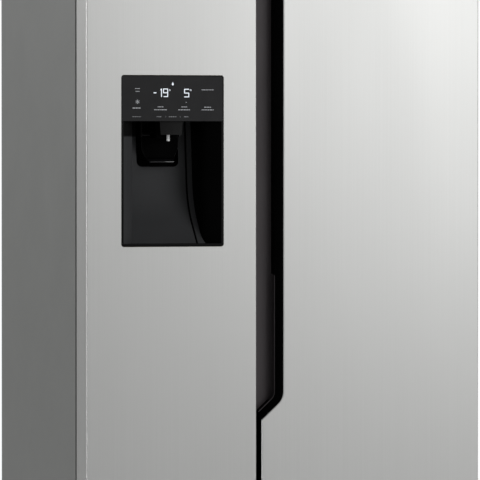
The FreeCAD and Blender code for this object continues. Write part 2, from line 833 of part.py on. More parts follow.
def kick_plate():
    x0 = freezer_hinge_x + hinge_plate_width - 8
    x1 = fridge_hinge_x - hinge_plate_width + 8
    y0 = case_front - 16
    z1 = door_bottom - 6
    face = block(x0, x1, y0, y0 + kick_plate_thickness, 8, z1)
    top = block(x0, x1, y0, case_front, z1 - kick_plate_thickness, z1)
    tabs = [block(x - 15, x + 15, case_front - 2, case_front + case_sheet, floor_gap + 2, z1)
            for x in (x0 + 60, (x0 + x1) / 2, x1 - 60)]
    slots = []
    for i in range(int((x1 - x0 - 60) // kick_slot_pitch)):
        x = x0 + 36 + i * kick_slot_pitch
        slots.append(block(x, x + 14, y0 - 1, y0 + kick_plate_thickness + 1, 18, 22))
        slots.append(block(x, x + 14, y0 - 1, y0 + kick_plate_thickness + 1, 27, 31))
    return trimmed(joined([face, top] + tabs), slots)


def compressor_centre():
    return right - 190, machine_front + machine_depth / 2 + 4


def grommet_places():
    x, y = compressor_centre()
    return [(x + dx, y + dy) for dx in (-95, 95) for dy in (-52, 52)]


def compressor_grommets():
    base = floor_gap + 2 * case_sheet
    grommets = []
    for x, y in grommet_places():
        body = rod(grommet_radius, (x, y, base), (x, y, base + grommet_height))
        hole = rod(4, (x, y, base - 1), (x, y, base + grommet_height + 1))
        grommets.append(trimmed(body, [hole]))
    return group(grommets)


def compressor():
    x, y = compressor_centre()
    z0 = floor_gap + 2 * case_sheet + grommet_height
    radius = compressor_radius
    height = compressor_height
    profile = Part.Wire([
        Part.makeLine(Vector(0, 0, 0), Vector(radius - 24, 0, 0)),
        Part.Arc(Vector(radius - 24, 0, 0), Vector(radius - 7, 0, 7), Vector(radius, 0, 24)).toShape(),
        Part.makeLine(Vector(radius, 0, 24), Vector(radius, 0, height - 50)),
        Part.Arc(Vector(radius, 0, height - 50), Vector(radius * 0.72, 0, height - 14),
                 Vector(0, 0, height)).toShape(),
        Part.makeLine(Vector(0, 0, height), Vector(0, 0, 0)),
    ])
    can = Part.Face(profile).revolve(Vector(0, 0, 0), Vector(0, 0, 1), 360)
    can = can.makeSolid() if can.ShapeType != "Solid" else can
    can.translate(Vector(x, y, z0 + 2))
    seam = rod(radius + 3, (x, y, z0 + 78), (x, y, z0 + 84))
    base_plate = flat_plate(x - 112, x + 112, y - 66, y + 66, z0, z0 + 3, 12)
    relay = block(x - radius - 24, x - radius + 14, y - 26, y + 26, z0 + 40, z0 + 92)
    stubs = [rod(4, (x + dx, y + dy, z0 + 100),
                 (x + dx, y + dy, z0 + height + 22)) for dx, dy in ((34, 20), (20, -34))]
    return joined([can, seam, base_plate, relay] + stubs)


def condenser_coil():
    c = condenser_fan_centre()
    base = floor_gap + 2 * case_sheet
    coil = fin_pack(c.x - 250, c.x - 40, c.y - 68, c.y + 68, base + 12, base + 172, 15, 5)
    feet = [block(x, x + 1, c.y - 68, c.y + 68, base, base + 14) for x in (c.x - 250, c.x - 41)]
    return joined([coil] + feet)


def control_box():
    base = floor_gap + 2 * case_sheet
    x0 = left + 30
    body = flat_plate(x0, x0 + 120, machine_front + 30, machine_front + 150, base, base + 165, 6)
    lid = flat_plate(x0 - 3, x0 + 123, machine_front + 27, machine_front + 153, base + 150, base + 171, 8)
    return joined([body, lid])


def water_valve():
    x = right - valve_x_inset
    y1 = cover_back - cover_sheet - 0.3
    body = block(x - 20, x + 20, y1 - valve_thread_length - 34, y1 - valve_thread_length, valve_height - 18,
                 valve_height + 18)
    inlet = rod(valve_thread_radius, (x, y1 - valve_thread_length - 1, valve_height), (x, y1, valve_height))
    coil = rod(14, (x, y1 - 34, valve_height + 17), (x, y1 - 34, valve_height + 58))
    bracket = block(x + 20, right - case_sheet - 0.3, y1 - 50, y1 - 47, valve_height - 14, valve_height + 14)
    arm = block(x + 18, x + 22, y1 - 50, y1 - 20, valve_height - 14, valve_height + 14)
    return joined([body, inlet, coil, bracket, arm])


def mains_gland():
    x = left + gland_x_inset
    y1 = cover_back
    flange = rod(gland_flange_radius, (x, y1 - cover_sheet - 3, gland_height),
                 (x, y1 - cover_sheet, gland_height))
    neck = rod(gland_neck_radius, (x, y1 - gland_length, gland_height), (x, y1, gland_height))
    bore = rod(gland_bore_radius, (x, y1 - gland_length - 1, gland_height), (x, y1 + 1, gland_height))
    return trimmed(joined([flange, neck]), [bore])


def machine_cover():
    y0 = cover_back - cover_sheet
    panel = block(left + case_sheet, right - case_sheet, y0, cover_back, floor_gap + 4, machine_top)
    cuts = [rod(valve_thread_radius + 6, (right - valve_x_inset, y0 - 1, valve_height),
                (right - valve_x_inset, rear + 1, valve_height)),
            rod(gland_neck_radius, (left + gland_x_inset, y0 - 1, gland_height),
                (left + gland_x_inset, rear + 1, gland_height))]
    cuts += [rod(screw_radius + screw_fit, (x, y0 - 1, z), (x, rear + 1, z)) for x, z in cover_screw_places()]
    pitch_x, pitch_z = cover_slot_pitch
    for column in range(-5, 6):
        x = column * pitch_x
        for row in range(7):
            z = floor_gap + 40 + row * pitch_z
            cuts.append(plate(rectangle(x - 19, x + 19, z - 4, z + 4), [3.9] * 4, y0 - 1, rear + 1))
    return trimmed(panel, cuts)


def cover_screw_places():
    high = machine_top - 12
    low = floor_gap + 14
    return [(left + 20, high), (0, high), (right - 20, high), (left + 20, low), (right - 20, low)]


def case_screws():
    screws = []
    for x, y in hinge_screw_places():
        shank = rod(screw_radius, (x, y, case_top), (x, y, case_top + hinge_plate + 1))
        head = rod(screw_head_radius, (x, y, case_top + hinge_plate),
                   (x, y, case_top + hinge_plate + 2.6))
        screws.append(joined([shank, head]))
    for x, z in cover_screw_places():
        shank = rod(screw_radius, (x, cover_back - cover_sheet - 8, z), (x, cover_back + 1, z))
        head = rod(screw_head_radius, (x, cover_back, z), (x, rear - 0.5, z))
        screws.append(joined([shank, head]))
    return group(screws)


# Doors

def freezer_corners(inset, past_ends):
    return rectangle(left + inset, freezer_edge - inset, door_bottom + door_cap_height - past_ends,
                     door_top - door_cap_height + past_ends)


# Front outline of the fridge door, with its free edge stepped back along the handle recess
def fridge_corners(inset, past_ends):
    z0 = door_bottom + door_cap_height
    z1 = door_top - door_cap_height
    corners = inset_corners([(fridge_edge, z0), (right, z0), (right, z1), (fridge_edge + recess_width, z1),
                             (fridge_edge + recess_width, recess_corner_height),
                             (fridge_edge, recess_bottom)], inset)
    low = z0 - past_ends
    high = z1 + past_ends
    return [(corners[0][0], low), (corners[1][0], low), (corners[2][0], high), (corners[3][0], high),
            corners[4], corners[5]]


# A sheet pressed over a door's front and edges, with its bends rounded
def pressed_sheet(corner_rule, radii_rule):
    def pressing(inset, past_ends, y, bend):
        body = plate(corner_rule(inset, past_ends), radii_rule(inset), y, door_back)
        ends = (body.BoundBox.ZMin, body.BoundBox.ZMax)
        bends = []
        for edge in body.Edges:
            box = edge.BoundBox
            flat_end = box.ZLength < 0.01 and min(abs(box.ZMin - z) for z in ends) < 0.01
            if box.YMax < y + 0.01 and not flat_end:
                bends.append(edge)
        return body.makeFillet(bend, bends)
    outer = pressing(0, 0, front, skin_bend)
    inner = pressing(skin_thickness, 5, front + skin_thickness, skin_bend - skin_thickness)
    return outer, inner


def no_radii(inset):
    return [0] * 4


def fridge_radii(inset):
    return [0, 0, 0, 0, recess_corner_radius + inset, 5 - inset]


def dispenser_outline(inset):
    x0 = left + dispenser_inset
    return rectangle(x0 + inset, x0 + dispenser_width - inset, dispenser_bottom + inset,
                     dispenser_bottom + dispenser_height - inset)


def dispenser_centre():
    return left + dispenser_inset + dispenser_width / 2


def chute_centre():
    return dispenser_centre()


def freezer_door_skin():
    outer, inner = pressed_sheet(freezer_corners, no_radii)
    window = plate(dispenser_outline(-dispenser_fit), [dispenser_corner + dispenser_fit] * 4, front - 1,
                   front + skin_bend + 5)
    # the free edge is closed by the black trim behind a short return
    open_edge = block(freezer_edge - skin_thickness - 0.5, freezer_edge + 1,
                      front + skin_bend + edge_trim_setback, door_back + 1, 0, overall_height)
    return trimmed(outer, [inner, window, open_edge])


def freezer_door_edge_trim():
    return block(freezer_edge - skin_thickness - 1, freezer_edge, front + skin_bend + edge_trim_setback,
                 door_back, door_bottom + door_cap_height, door_top - door_cap_height)


# Raised rim, pans and bulge of a liner. They share the numbers of the compartment behind them.

def freezer_dyke():
    return (freezer_span[0] + dyke_side_gap, freezer_span[1] - dyke_free_gap)


def fridge_dyke():
    return (fridge_span[0] + dyke_free_gap, fridge_span[1] - dyke_side_gap)


def dyke_heights():
    return compartment_floor + dyke_end_gap, compartment_top - dyke_end_gap


def freezer_pans():
    x0, x1 = freezer_dyke()
    z0, z1 = dyke_heights()
    return [(x0 + dyke_width, x1 - dyke_width, z0 + dyke_width, bulge_floor),
            (x0 + dyke_width, x1 - dyke_width, bulge_top, z1 - dyke_width)]


def fridge_pans():
    x0, x1 = fridge_dyke()
    z0, z1 = dyke_heights()
    free_rim = fridge_edge + recess_width + grip_reach + recess_trim + 12
    return [(free_rim, x1 - dyke_width, z0 + dyke_width, z1 - dyke_width)]


def pan_blocks(pans, grow):
    return [block(x0 - grow, x1 + grow, front + pan_depth - grow, case_front + 200, z0 - grow, z1 + grow)
            for x0, x1, z0, z1 in pans]


def dyke_block(span, shrink):
    z0, z1 = dyke_heights()
    return block(span[0] + shrink, span[1] - shrink, door_back - 2 * liner_thickness,
                 case_front + dyke_height - shrink, z0 + shrink, z1 - shrink)


# The liner stands out behind the dispenser, and further round the mouth of the ice chute
def bulge_block(shrink):
    x0, x1 = freezer_dyke()
    wide = block(x0 + dyke_width - 1 + shrink, x1 - dyke_width + 1 - shrink, door_back - 2 * liner_thickness,
                 case_front + bulge_reach - shrink, bulge_floor + shrink, bulge_top - 20 - shrink)
    return wide


def chute_sections(grow):
    x = chute_centre()
    w = chute_width / 2 + grow
    levels = [(chute_bottom, chute_setback), (chute_bend, chute_setback), (chute_top, chute_mouth)]
    wires = []
    for z, setback in levels:
        y0 = front + setback - grow
        y1 = front + setback + chute_depth + grow
        wires.append(Part.makePolygon([Vector(x - w, y0, z), Vector(x + w, y0, z), Vector(x + w, y1, z),
                                       Vector(x - w, y1, z), Vector(x - w, y0, z)]))
    return wires


def chute_solid(grow, past_ends):
    wires = chute_sections(grow)
    body = Part.makeLoft(wires, True, True)
    if past_ends == 0:
        return body
    low = Part.Face(wires[0]).extrude(Vector(0, 0, -past_ends))
    high = Part.Face(wires[2]).extrude(Vector(0, 0, past_ends))
    return joined([body, low, high])


def chute_collar():
    x = chute_centre()
    y0 = front + chute_mouth
    half = chute_width / 2 + 12
    return block(x - half, x + half, case_front + bulge_reach - 2 * liner_thickness,
                 y0 + chute_depth + 10, chute_bend + 40, chute_top - 0.5)


def liner_flange(edge0, edge1):
    z0 = door_bottom + door_cap_height
    z1 = door_top - door_cap_height
    return block(edge0, edge1, door_back - liner_thickness, door_back, z0, z1)


def freezer_foam_space():
    x0, x1 = left + skin_thickness, freezer_edge - skin_thickness - 1
    z0 = door_bottom + door_cap_height
    z1 = door_top - door_cap_height
    slab = block(x0, x1, front + skin_thickness, door_back - liner_thickness, z0, z1)
    front_edges = [edge for edge in slab.Edges if edge.BoundBox.YMax < front + skin_thickness + 0.01
                   and edge.BoundBox.ZLength > 1]
    slab = slab.makeFillet(skin_bend - skin_thickness, front_edges)
    full = joined([slab, dyke_block(freezer_dyke(), liner_thickness), bulge_block(liner_thickness)])
    return trimmed(full, pan_blocks(freezer_pans(), liner_thickness))


def freezer_door_liner():
    # the liner's sheet follows the gasket's seat, rim, pans and bulge
    outer = joined([liner_flange(left + skin_thickness, freezer_edge - skin_thickness - 1),
                    dyke_block(freezer_dyke(), 0), bulge_block(0), chute_collar()]
                   + pan_walls(freezer_pans()))
    cutters = pan_blocks(freezer_pans(), 0) + [freezer_foam_space(), chute_solid(chute_wall, 30)]
    return trimmed(outer, cutters + [dispenser_envelope()])


def pan_walls(pans):
    return [block(x0 - liner_thickness, x1 + liner_thickness, front + pan_depth - liner_thickness,
                  door_back, z0 - liner_thickness, z1 + liner_thickness) for x0, x1, z0, z1 in pans]


def freezer_door_core():
    seam = block(freezer_edge - skin_thickness - 1.5, freezer_edge, front,
                 front + skin_bend + edge_trim_setback, 0, overall_height)
    return trimmed(freezer_foam_space(), [dispenser_envelope(), chute_solid(chute_wall, 30), seam])


def fridge_foam_space():
    outer, inner = pressed_sheet(fridge_corners, fridge_radii)
    z0 = door_bottom + door_cap_height
    z1 = door_top - door_cap_height
    slab = inner.common(block(left, right, front, door_back - liner_thickness, z0, z1))
    behind = block(fridge_edge + recess_trim, fridge_edge + recess_width + 1,
                   front + recess_depth + recess_trim, door_back - liner_thickness, z0, z1)
    full = joined([slab, behind, dyke_block(fridge_dyke(), liner_thickness)])
    return trimmed(full, pan_blocks(fridge_pans(), liner_thickness))


def fridge_door_liner():
    outer = joined([liner_flange(fridge_edge + skin_thickness, right - skin_thickness),
                    dyke_block(fridge_dyke(), 0)] + pan_walls(fridge_pans()))
    return trimmed(outer, pan_blocks(fridge_pans(), 0) + [fridge_foam_space(), handle_envelope()])


def fridge_door_core():
    return trimmed(fridge_foam_space(), [handle_envelope()])


def fridge_door_skin():
    outer, inner = pressed_sheet(fridge_corners, fridge_radii)
    # along the recess the sheet only turns in by a short return
    recess = recess_region(-skin_thickness - 1)
    deep = plate(recess, recess_radii(-skin_thickness - 1), front + skin_bend + edge_trim_setback,
                 door_back + 1)
    return trimmed(outer, [inner, deep])


def recess_region(inset):
    slope = (recess_corner_height - recess_bottom) / recess_width
    past = 30.0
    x1 = fridge_edge + recess_width
    z1 = door_top - door_cap_height
    corners = inset_corners([(fridge_edge - past, recess_bottom - past * slope), (x1, recess_corner_height),
                             (x1, z1 + past), (fridge_edge - past, z1 + past)], inset)
    return corners


def recess_radii(inset):
    return [0, recess_corner_radius - inset, 0, 0]


# Everything in front of the trim's visible surface
def recess_hollow():
    sections = []
    for inset, y in ((-0.01, front - 1), (0, front), (recess_slant, front + recess_slant_depth),
                     (recess_slant, front + recess_depth)):
        sections.append(rounded_outline(recess_region(inset), recess_radii(inset), y))
    slanted = Part.makeLoft(sections, True, True)
    x1 = fridge_edge + recess_width - recess_slant
    corners = rectangle(x1 - 8, x1 + grip_reach, grip_bottom, grip_top)
    pocket = plate(corners, [0, grip_radius, grip_radius, 0], front + grip_depth, front + recess_depth)
    return joined([slanted, pocket])


# The space in the door that the handle's trim takes up, its hollow included
def handle_envelope():
    z1 = door_top - door_cap_height
    keep = block(fridge_edge, fridge_edge + recess_width + grip_reach + 40, front, door_back,
                 recess_bottom - 60, z1)
    outer_region = plate(recess_region(-recess_trim), recess_radii(-recess_trim),
                         front + skin_bend + edge_trim_setback, front + recess_depth + recess_trim)
    lip = plate(recess_region(0), recess_radii(0), front - 1, front + skin_bend + edge_trim_setback)
    x1 = fridge_edge + recess_width - recess_slant
    corners = rectangle(x1 - 8, x1 + grip_reach + recess_trim, grip_bottom - recess_trim,
                        grip_top + recess_trim)
    pocket = plate(corners, [0, grip_radius + recess_trim, grip_radius + recess_trim, 0],
                   front + grip_depth - recess_trim, front + recess_depth + recess_trim)
    edge = block(fridge_edge, fridge_edge + recess_trim, front + recess_depth - 1,
                 door_back - liner_thickness, recess_bottom + 10, z1)
    return joined([outer_region, lip, pocket, edge]).common(keep)


def handle_trim():
    return trimmed(handle_envelope(), [recess_hollow()])


def gasket(x0, x1):
    z0 = door_bottom + gasket_floor_lift
    z1 = door_top - gasket_top_drop
    y1 = case_front - gasket_clearance
    outer = block(x0, x1, door_back, y1, z0, z1)
    inner = block(x0 + gasket_width, x1 - gasket_width, door_back - 1, y1 + 1, z0 + gasket_width,
                  z1 - gasket_width)
    # a groove runs round the lip between its foot and its magnet strip
    groove_y = (door_back + y1) / 2
    groove_outer = block(x0 - 1, x1 + 1, groove_y - 1.5, groove_y + 1.5, z0 - 1, z1 + 1)
    groove_inner = block(x0 + 3, x1 - 3, groove_y - 2, groove_y + 2, z0 + 3, z1 - 3)
    return trimmed(outer, [inner, trimmed(groove_outer, [groove_inner])])


def freezer_door_gasket():
    return gasket(left + gasket_hinge_inset, freezer_edge - gasket_free_inset)


def fridge_door_gasket():
    return gasket(fridge_edge + gasket_free_inset, right - gasket_hinge_inset)


# End caps of a door, each with the hole that turns on its hinge's pin
def door_caps(x0, x1, hinge_x):
    caps = []
    for z0, z1, hole0, hole1 in (
            (door_bottom, door_bottom + door_cap_height, door_bottom - 1, door_bottom + hinge_pin_reach + 1),
            (door_top - door_cap_height, door_top, door_top - hinge_pin_reach - 1, door_top + 1)):
        cap = block(x0, x1, front, door_back, z0, z1)
        uprights = [edge for edge in cap.Edges
                    if edge.BoundBox.ZLength > 1 and edge.BoundBox.YMax < front + 0.01]
        cap = cap.makeFillet(skin_bend, uprights)
        hole = rod(hinge_pin_radius + hinge_pin_clearance, (hinge_x, hinge_y, hole0),
                   (hinge_x, hinge_y, hole1))
        caps.append(trimmed(cap, [hole]))
    return group(caps)


def freezer_door_caps():
    return door_caps(left, freezer_edge, freezer_hinge_x)


def fridge_door_caps():
    return door_caps(fridge_edge, right, fridge_hinge_x)


# Dispenser

def cavity_top():
    return dispenser_bottom + dispenser_height - dispenser_panel_height


# The cavity: its back scoops forwards to the foot, and its sides close in to the back
def dispenser_cavity(grow):
    x = dispenser_centre()
    z0 = dispenser_bottom + dispenser_sill
    z1 = cavity_top()
    before = front - 2 * dispenser_wall
    mouth = dispenser_width / 2 - dispenser_rim
    bevelled = mouth - cavity_bevel_inset
    back = mouth - cavity_back_inset
    side_view = [(before, z0), (front + cavity_foot_depth, z0),
                 (front + cavity_knee_depth, cavity_knee_height),
                 (front + cavity_top_depth, z1), (before, z1)]
    plan = [(x - mouth, before), (x + mouth, before), (x + mouth, front),
            (x + bevelled, front + cavity_bevel_depth), (x + back, front + 2 * cavity_top_depth),
            (x - back, front + 2 * cavity_top_depth), (x - bevelled, front + cavity_bevel_depth),
            (x - mouth, front)]
    bend = cavity_back_inset
    scoop = prism_along_x(inset_corners(side_view, -grow), [0, 0, cavity_knee_radius + grow, 0, 0],
                          x - mouth - 2 * grow, x + mouth + 2 * grow)
    sides = upright_prism(inset_corners(plan, -grow), [0, 0, 0, bend, 0, 0, bend, 0], z0 - 2 * grow,
                          z1 + 2 * grow)
    return scoop.common(sides)


def cavity_back_groove():
    x = dispenser_centre() + cavity_groove
    strip = block(x, x + cavity_groove_width, front + cavity_foot_depth, front + 2 * cavity_top_depth,
                  dispenser_bottom + dispenser_sill, cavity_top())
    return dispenser_cavity(cavity_groove_depth).common(strip)


def paddle_window(grow):
    x = dispenser_centre()
    half = paddle_window_width / 2
    z0 = paddle_window_bottom
    z1 = z0 + paddle_window_height
    corners = rectangle(x - half - grow, x + half + grow, z0 - grow, z1 + grow)
    low = paddle_window_corner + grow
    return plate(corners, [low, low, grow, grow], front + paddle_cheek_setback,
                 front + paddle_window_depth + grow)


def paddle_cheeks():
    x = dispenser_centre()
    cheeks = []
    for side in (-1, 1):
        inner = x + side * (paddle_width / 2 + paddle_side_gap)
        x0, x1 = sorted((inner, inner + side * paddle_cheek))
        cheeks.append(block(x0, x1, front + paddle_cheek_setback, front + paddle_window_depth + 1,
                            paddle_cheek_bottom, cavity_top() + 1))
    return cheeks


# The shroud hangs from the cavity's roof, open below and towards the chute
def nozzle_body(inset, z0, z1):
    x = chute_centre()
    y0 = front + nozzle_setback + inset
    y1 = front + chute_setback - chute_wall - dispenser_fit + inset
    wires = []
    for z, width in ((z0, nozzle_bottom_width), (z1, nozzle_top_width)):
        half = width / 2 - inset
        wires.append(Part.makePolygon([Vector(x - half, y0, z), Vector(x + half, y0, z),
                                       Vector(x + half, y1, z), Vector(x - half, y1, z),
                                       Vector(x - half, y0, z)]))
    return Part.makeLoft(wires, True, True)


def nozzle_shroud():
    return trimmed(nozzle_body(0, nozzle_bottom, cavity_top() + 1),
                   [nozzle_body(nozzle_wall, nozzle_bottom - 1, cavity_top())])


def panel_space(grow):
    x = dispenser_centre()
    half = dispenser_width / 2 - 1.7
    z1 = dispenser_bottom + dispenser_height - 1.7
    corner = dispenser_corner - 1.5
    return plate(rectangle(x - half - grow, x + half + grow, cavity_top() + 0.5 - grow, z1 + grow),
                 [1.0, 1.0, corner, corner], front + panel_setback, front + dispenser_panel_thickness)


def dispenser_head():
    half = dispenser_width / 2 - dispenser_head_inset
    return (dispenser_centre() - half, dispenser_centre() + half,
            dispenser_bottom + dispenser_height - dispenser_head_inset)


def dispenser_envelope():
    frame = plate(dispenser_outline(0), [dispenser_corner] * 4, front, front + dispenser_frame_depth)
    x0, x1, z1 = dispenser_head()
    head = block(x0, x1, front + dispenser_panel_thickness, front + chute_setback + chute_depth + 8,
                 cavity_top() - 2, z1)
    scoop = dispenser_cavity(dispenser_wall).common(block(left, right, front, rear, 0, overall_height))
    return joined([frame, head, scoop, paddle_window(dispenser_wall)])


def paddle_axis():
    return front + paddle_setback, paddle_pivot_height


def paddle_pin_holes():
    y, z = paddle_axis()
    x = dispenser_centre()
    half = paddle_width / 2 + paddle_side_gap + paddle_cheek + 1
    return rod(paddle_pin_radius + paddle_pin_clearance, (x - half, y, z), (x + half, y, z))


def dispenser_housing():
    # room behind the panel for its circuit board, and in front of that for the panel itself
    x0, x1, z1 = dispenser_head()
    board_room = block(x0 + dispenser_wall, x1 - dispenser_wall, front + dispenser_panel_thickness,
                       front + chute_setback - 4, cavity_top() + 8, z1 - dispenser_wall)
    panel_room = joined([panel_space(0.2), panel_space(0.2).translated(Vector(0, -1, 0))])
    envelope = dispenser_envelope()
    shell = trimmed(envelope, [dispenser_cavity(0), paddle_window(0), panel_room, board_room,
                               cavity_back_groove()])
    fitted = joined([shell, nozzle_shroud()] + paddle_cheeks()).common(envelope)
    return trimmed(fitted, [chute_solid(chute_wall, 30), paddle_pin_holes()])


def dispenser_panel():
    return panel_space(0)


def ice_chute():
    shell = trimmed(chute_solid(chute_wall, 0), [chute_solid(0, 5)])
    y, z = flap_axis()
    x = chute_centre()
    half = chute_width / 2 + chute_wall + 1
    holes = rod(flap_pin_radius + flap_pin_clearance, (x - half, y, z), (x + half, y, z))
    return trimmed(shell, [holes])


def flap_axis():
    return front + chute_setback + 4.5, flap_height


def chute_flap():
    y, z = flap_axis()
    x = chute_centre()
    half = chute_width / 2 - 0.8
    leaf = block(x - half, x + half, y, front + chute_setback + chute_depth - 1.5, z - flap_thickness / 2,
                 z + flap_thickness / 2)
    barrel = rod(flap_thickness * 1.3, (x - half, y, z), (x + half, y, z))
    pin_half = chute_width / 2 + chute_wall - 0.3
    pin = rod(flap_pin_radius, (x - pin_half, y, z), (x + pin_half, y, z))
    return joined([leaf, barrel, pin])


def dispenser_paddle():
    y, z = paddle_axis()
    x = dispenser_centre()
    half = paddle_width / 2
    t = paddle_thickness
    low = z - paddle_length
    bend = low + paddle_curl
    fore = y - t / 2
    aft = y + t / 2
    # side outline in (y, z): a straight blade whose foot curls forwards
    blade = Part.Wire([
        Part.makeLine(Vector(0, fore, z), Vector(0, fore, bend)),
        Part.Arc(Vector(0, fore, bend), Vector(0, fore - 0.3 * paddle_curl, low + 0.3 * paddle_curl),
                 Vector(0, fore - paddle_curl, low)).toShape(),
        Part.makeLine(Vector(0, fore - paddle_curl, low), Vector(0, fore - paddle_curl, low - t)),
        Part.Arc(Vector(0, fore - paddle_curl, low - t), Vector(0, aft - 0.25 * paddle_curl, low + 3),
                 Vector(0, aft, bend)).toShape(),
        Part.makeLine(Vector(0, aft, bend), Vector(0, aft, z)),
        Part.makeLine(Vector(0, aft, z), Vector(0, fore, z)),
    ])
    body = Part.Face(blade).extrude(Vector(2 * half, 0, 0))
    body.translate(Vector(x - half, 0, 0))
    foot = half - paddle_taper
    tapered = plate([(x - foot, low - 10), (x + foot, low - 10), (x + half, low + 26), (x + half, z + 5),
                     (x - half, z + 5), (x - half, low + 26)], [10, 10, 20, 0, 0, 20], y - 40, y + 20)
    barrel = rod(paddle_barrel_radius, (x - half, y, z), (x + half, y, z))
    pin_half = half + paddle_side_gap + paddle_cheek - 0.4
    pin = rod(paddle_pin_radius, (x - pin_half, y, z), (x + pin_half, y, z))
    return joined([body.common(tapered), barrel, pin])


def water_spout():
    x = chute_centre()
    y = front + spout_setback
    tube = rod(spout_radius, (x, y, spout_bottom), (x, y, cavity_top() - dispenser_fit))
    bore = rod(spout_bore, (x, y, spout_bottom - 1), (x, y, spout_bottom + spout_bore_length))
    return trimmed(tube, [bore])


# Bins on the doors

def door_bin(x0, x1, z0, height):
    y0 = front + pan_depth + bin_side_gap
    y1 = case_front + bin_reach
    box = open_box(x0 + bin_side_gap, x1 - bin_side_gap, y0, y1, z0, z0 + height, bin_wall)
    lip = block(x0 + bin_side_gap, x1 - bin_side_gap, y1 - bin_wall - 2, y1, z0 + height - 6, z0 + height)
    return joined([box, lip])


def freezer_door_bins():
    x0, x1 = freezer_pans()[0][:2]
    return group([door_bin(x0, x1, z, bin_height) for z in freezer_bin_levels])


def dairy_lid_axis():
    return front + pan_depth + 8, dairy_level + dairy_height + 6


def fridge_door_bins():
    x0, x1 = fridge_pans()[0][:2]
    bins = [door_bin(x0, x1, z, bin_height) for z in fridge_bin_levels]
    dairy = door_bin(x0, x1, dairy_level, dairy_height)
    y, z = dairy_lid_axis()
    cheeks = []
    for a in (x0 + bin_side_gap, x1 - bin_side_gap - bin_wall):
        cheeks.append(block(a, a + bin_wall, y - 7, y + 7, z - 10, z + 6))
    hole = rod(dairy_pin_radius + dairy_pin_clearance, (x0, y, z), (x1, y, z))
    return group(bins + [trimmed(joined([dairy] + cheeks), [hole])])


def dairy_lid():
    x0, x1 = fridge_pans()[0][:2]
    inner0 = x0 + bin_side_gap + bin_wall + dairy_pin_gap
    inner1 = x1 - bin_side_gap - bin_wall - dairy_pin_gap
    y, z = dairy_lid_axis()
    top = block(inner0, inner1, y, case_front + bin_reach - 8, z - dairy_lid_thickness / 2,
                z + dairy_lid_thickness / 2)
    barrel = rod(dairy_pin_radius + 1.2, (inner0, y, z), (inner1, y, z))
    pin = rod(dairy_pin_radius, (inner0 - dairy_pin_gap - bin_wall + 0.4, y, z),
              (inner1 + dairy_pin_gap + bin_wall - 0.4, y, z))
    middle = (x0 + x1) / 2
    lip_front = case_front + bin_reach - 8
    handle = block(middle - 40, middle + 40, lip_front - 4, lip_front, z, z + 9)
    return joined([top, barrel, pin, handle])


# Drawers

def drawer(span, z0, height, y1):
    x0 = span[0] + drawer_side_gap
    x1 = span[1] - drawer_side_gap
    y0 = case_front + shelf_front
    box = open_box(x0, x1, y0 + 6, y1, z0, z0 + height, drawer_wall)
    face = block(x0, x1, y0, y0 + 6 + drawer_wall, z0, z0 + height)
    grip = block(x0 + 40, x1 - 40, y0 - 1, y0 + 6, z0 + height - 34, z0 + height - 14)
    rims = [block(x0 - drawer_rim, x0 + 1, y0 + 12, y1, z0 + height - drawer_rim_thickness, z0 + height),
            block(x1 - 1, x1 + drawer_rim, y0 + 12, y1, z0 + height - drawer_rim_thickness, z0 + height)]
    return trimmed(joined([box, face] + rims), [grip])


def lower_drawer(span):
    return drawer(span, lower_drawer_bottom, lower_drawer_height, step_front - 10)


def upper_drawer(span):
    back = compartment_back if span is fridge_span else evaporator_front()
    return drawer(span, upper_drawer_bottom, upper_drawer_height, back - 14)


def freezer_drawer_lower():
    return lower_drawer(freezer_span)


def freezer_drawer_upper():
    return upper_drawer(freezer_span)


def fridge_drawer_lower():
    return lower_drawer(fridge_span)


def fridge_drawer_upper():
    return trimmed(upper_drawer(fridge_span), [duct_envelope(2.0)])


sub_parts = [
    outer_shell, back_panel, stepped_floor, base_frame, cabinet_insulation, freezer_liner, fridge_liner,
    centre_strip, evaporator_cover, evaporator_coil, evaporator_fan, fan_motors, fridge_air_duct,
    glass_shelves, shelf_trims, ice_maker, ice_bucket, ice_auger, ice_auger_motor, cabinet_lights,
    upper_hinges, hinge_covers, lower_hinges, case_screws, control_box, compressor, compressor_grommets,
    condenser_coil, condenser_fan, machine_cover, water_valve, mains_gland, levelling_feet, rear_rollers,
    kick_plate, freezer_drawer_upper, freezer_drawer_lower, fridge_drawer_upper, fridge_drawer_lower,
    freezer_door_skin, freezer_door_core, freezer_door_liner, freezer_door_gasket, freezer_door_caps,
    freezer_door_edge_trim, freezer_door_bins, dispenser_housing, dispenser_panel, ice_chute, chute_flap,
    water_spout, dispenser_paddle, fridge_door_skin, fridge_door_core, fridge_door_liner,
    fridge_door_gasket, fridge_door_caps, handle_trim, fridge_door_bins, dairy_lid,
]

for sub_part in sub_parts:
    save(sub_part.__name__, sub_part())
print(len(sub_parts), "sub-parts")
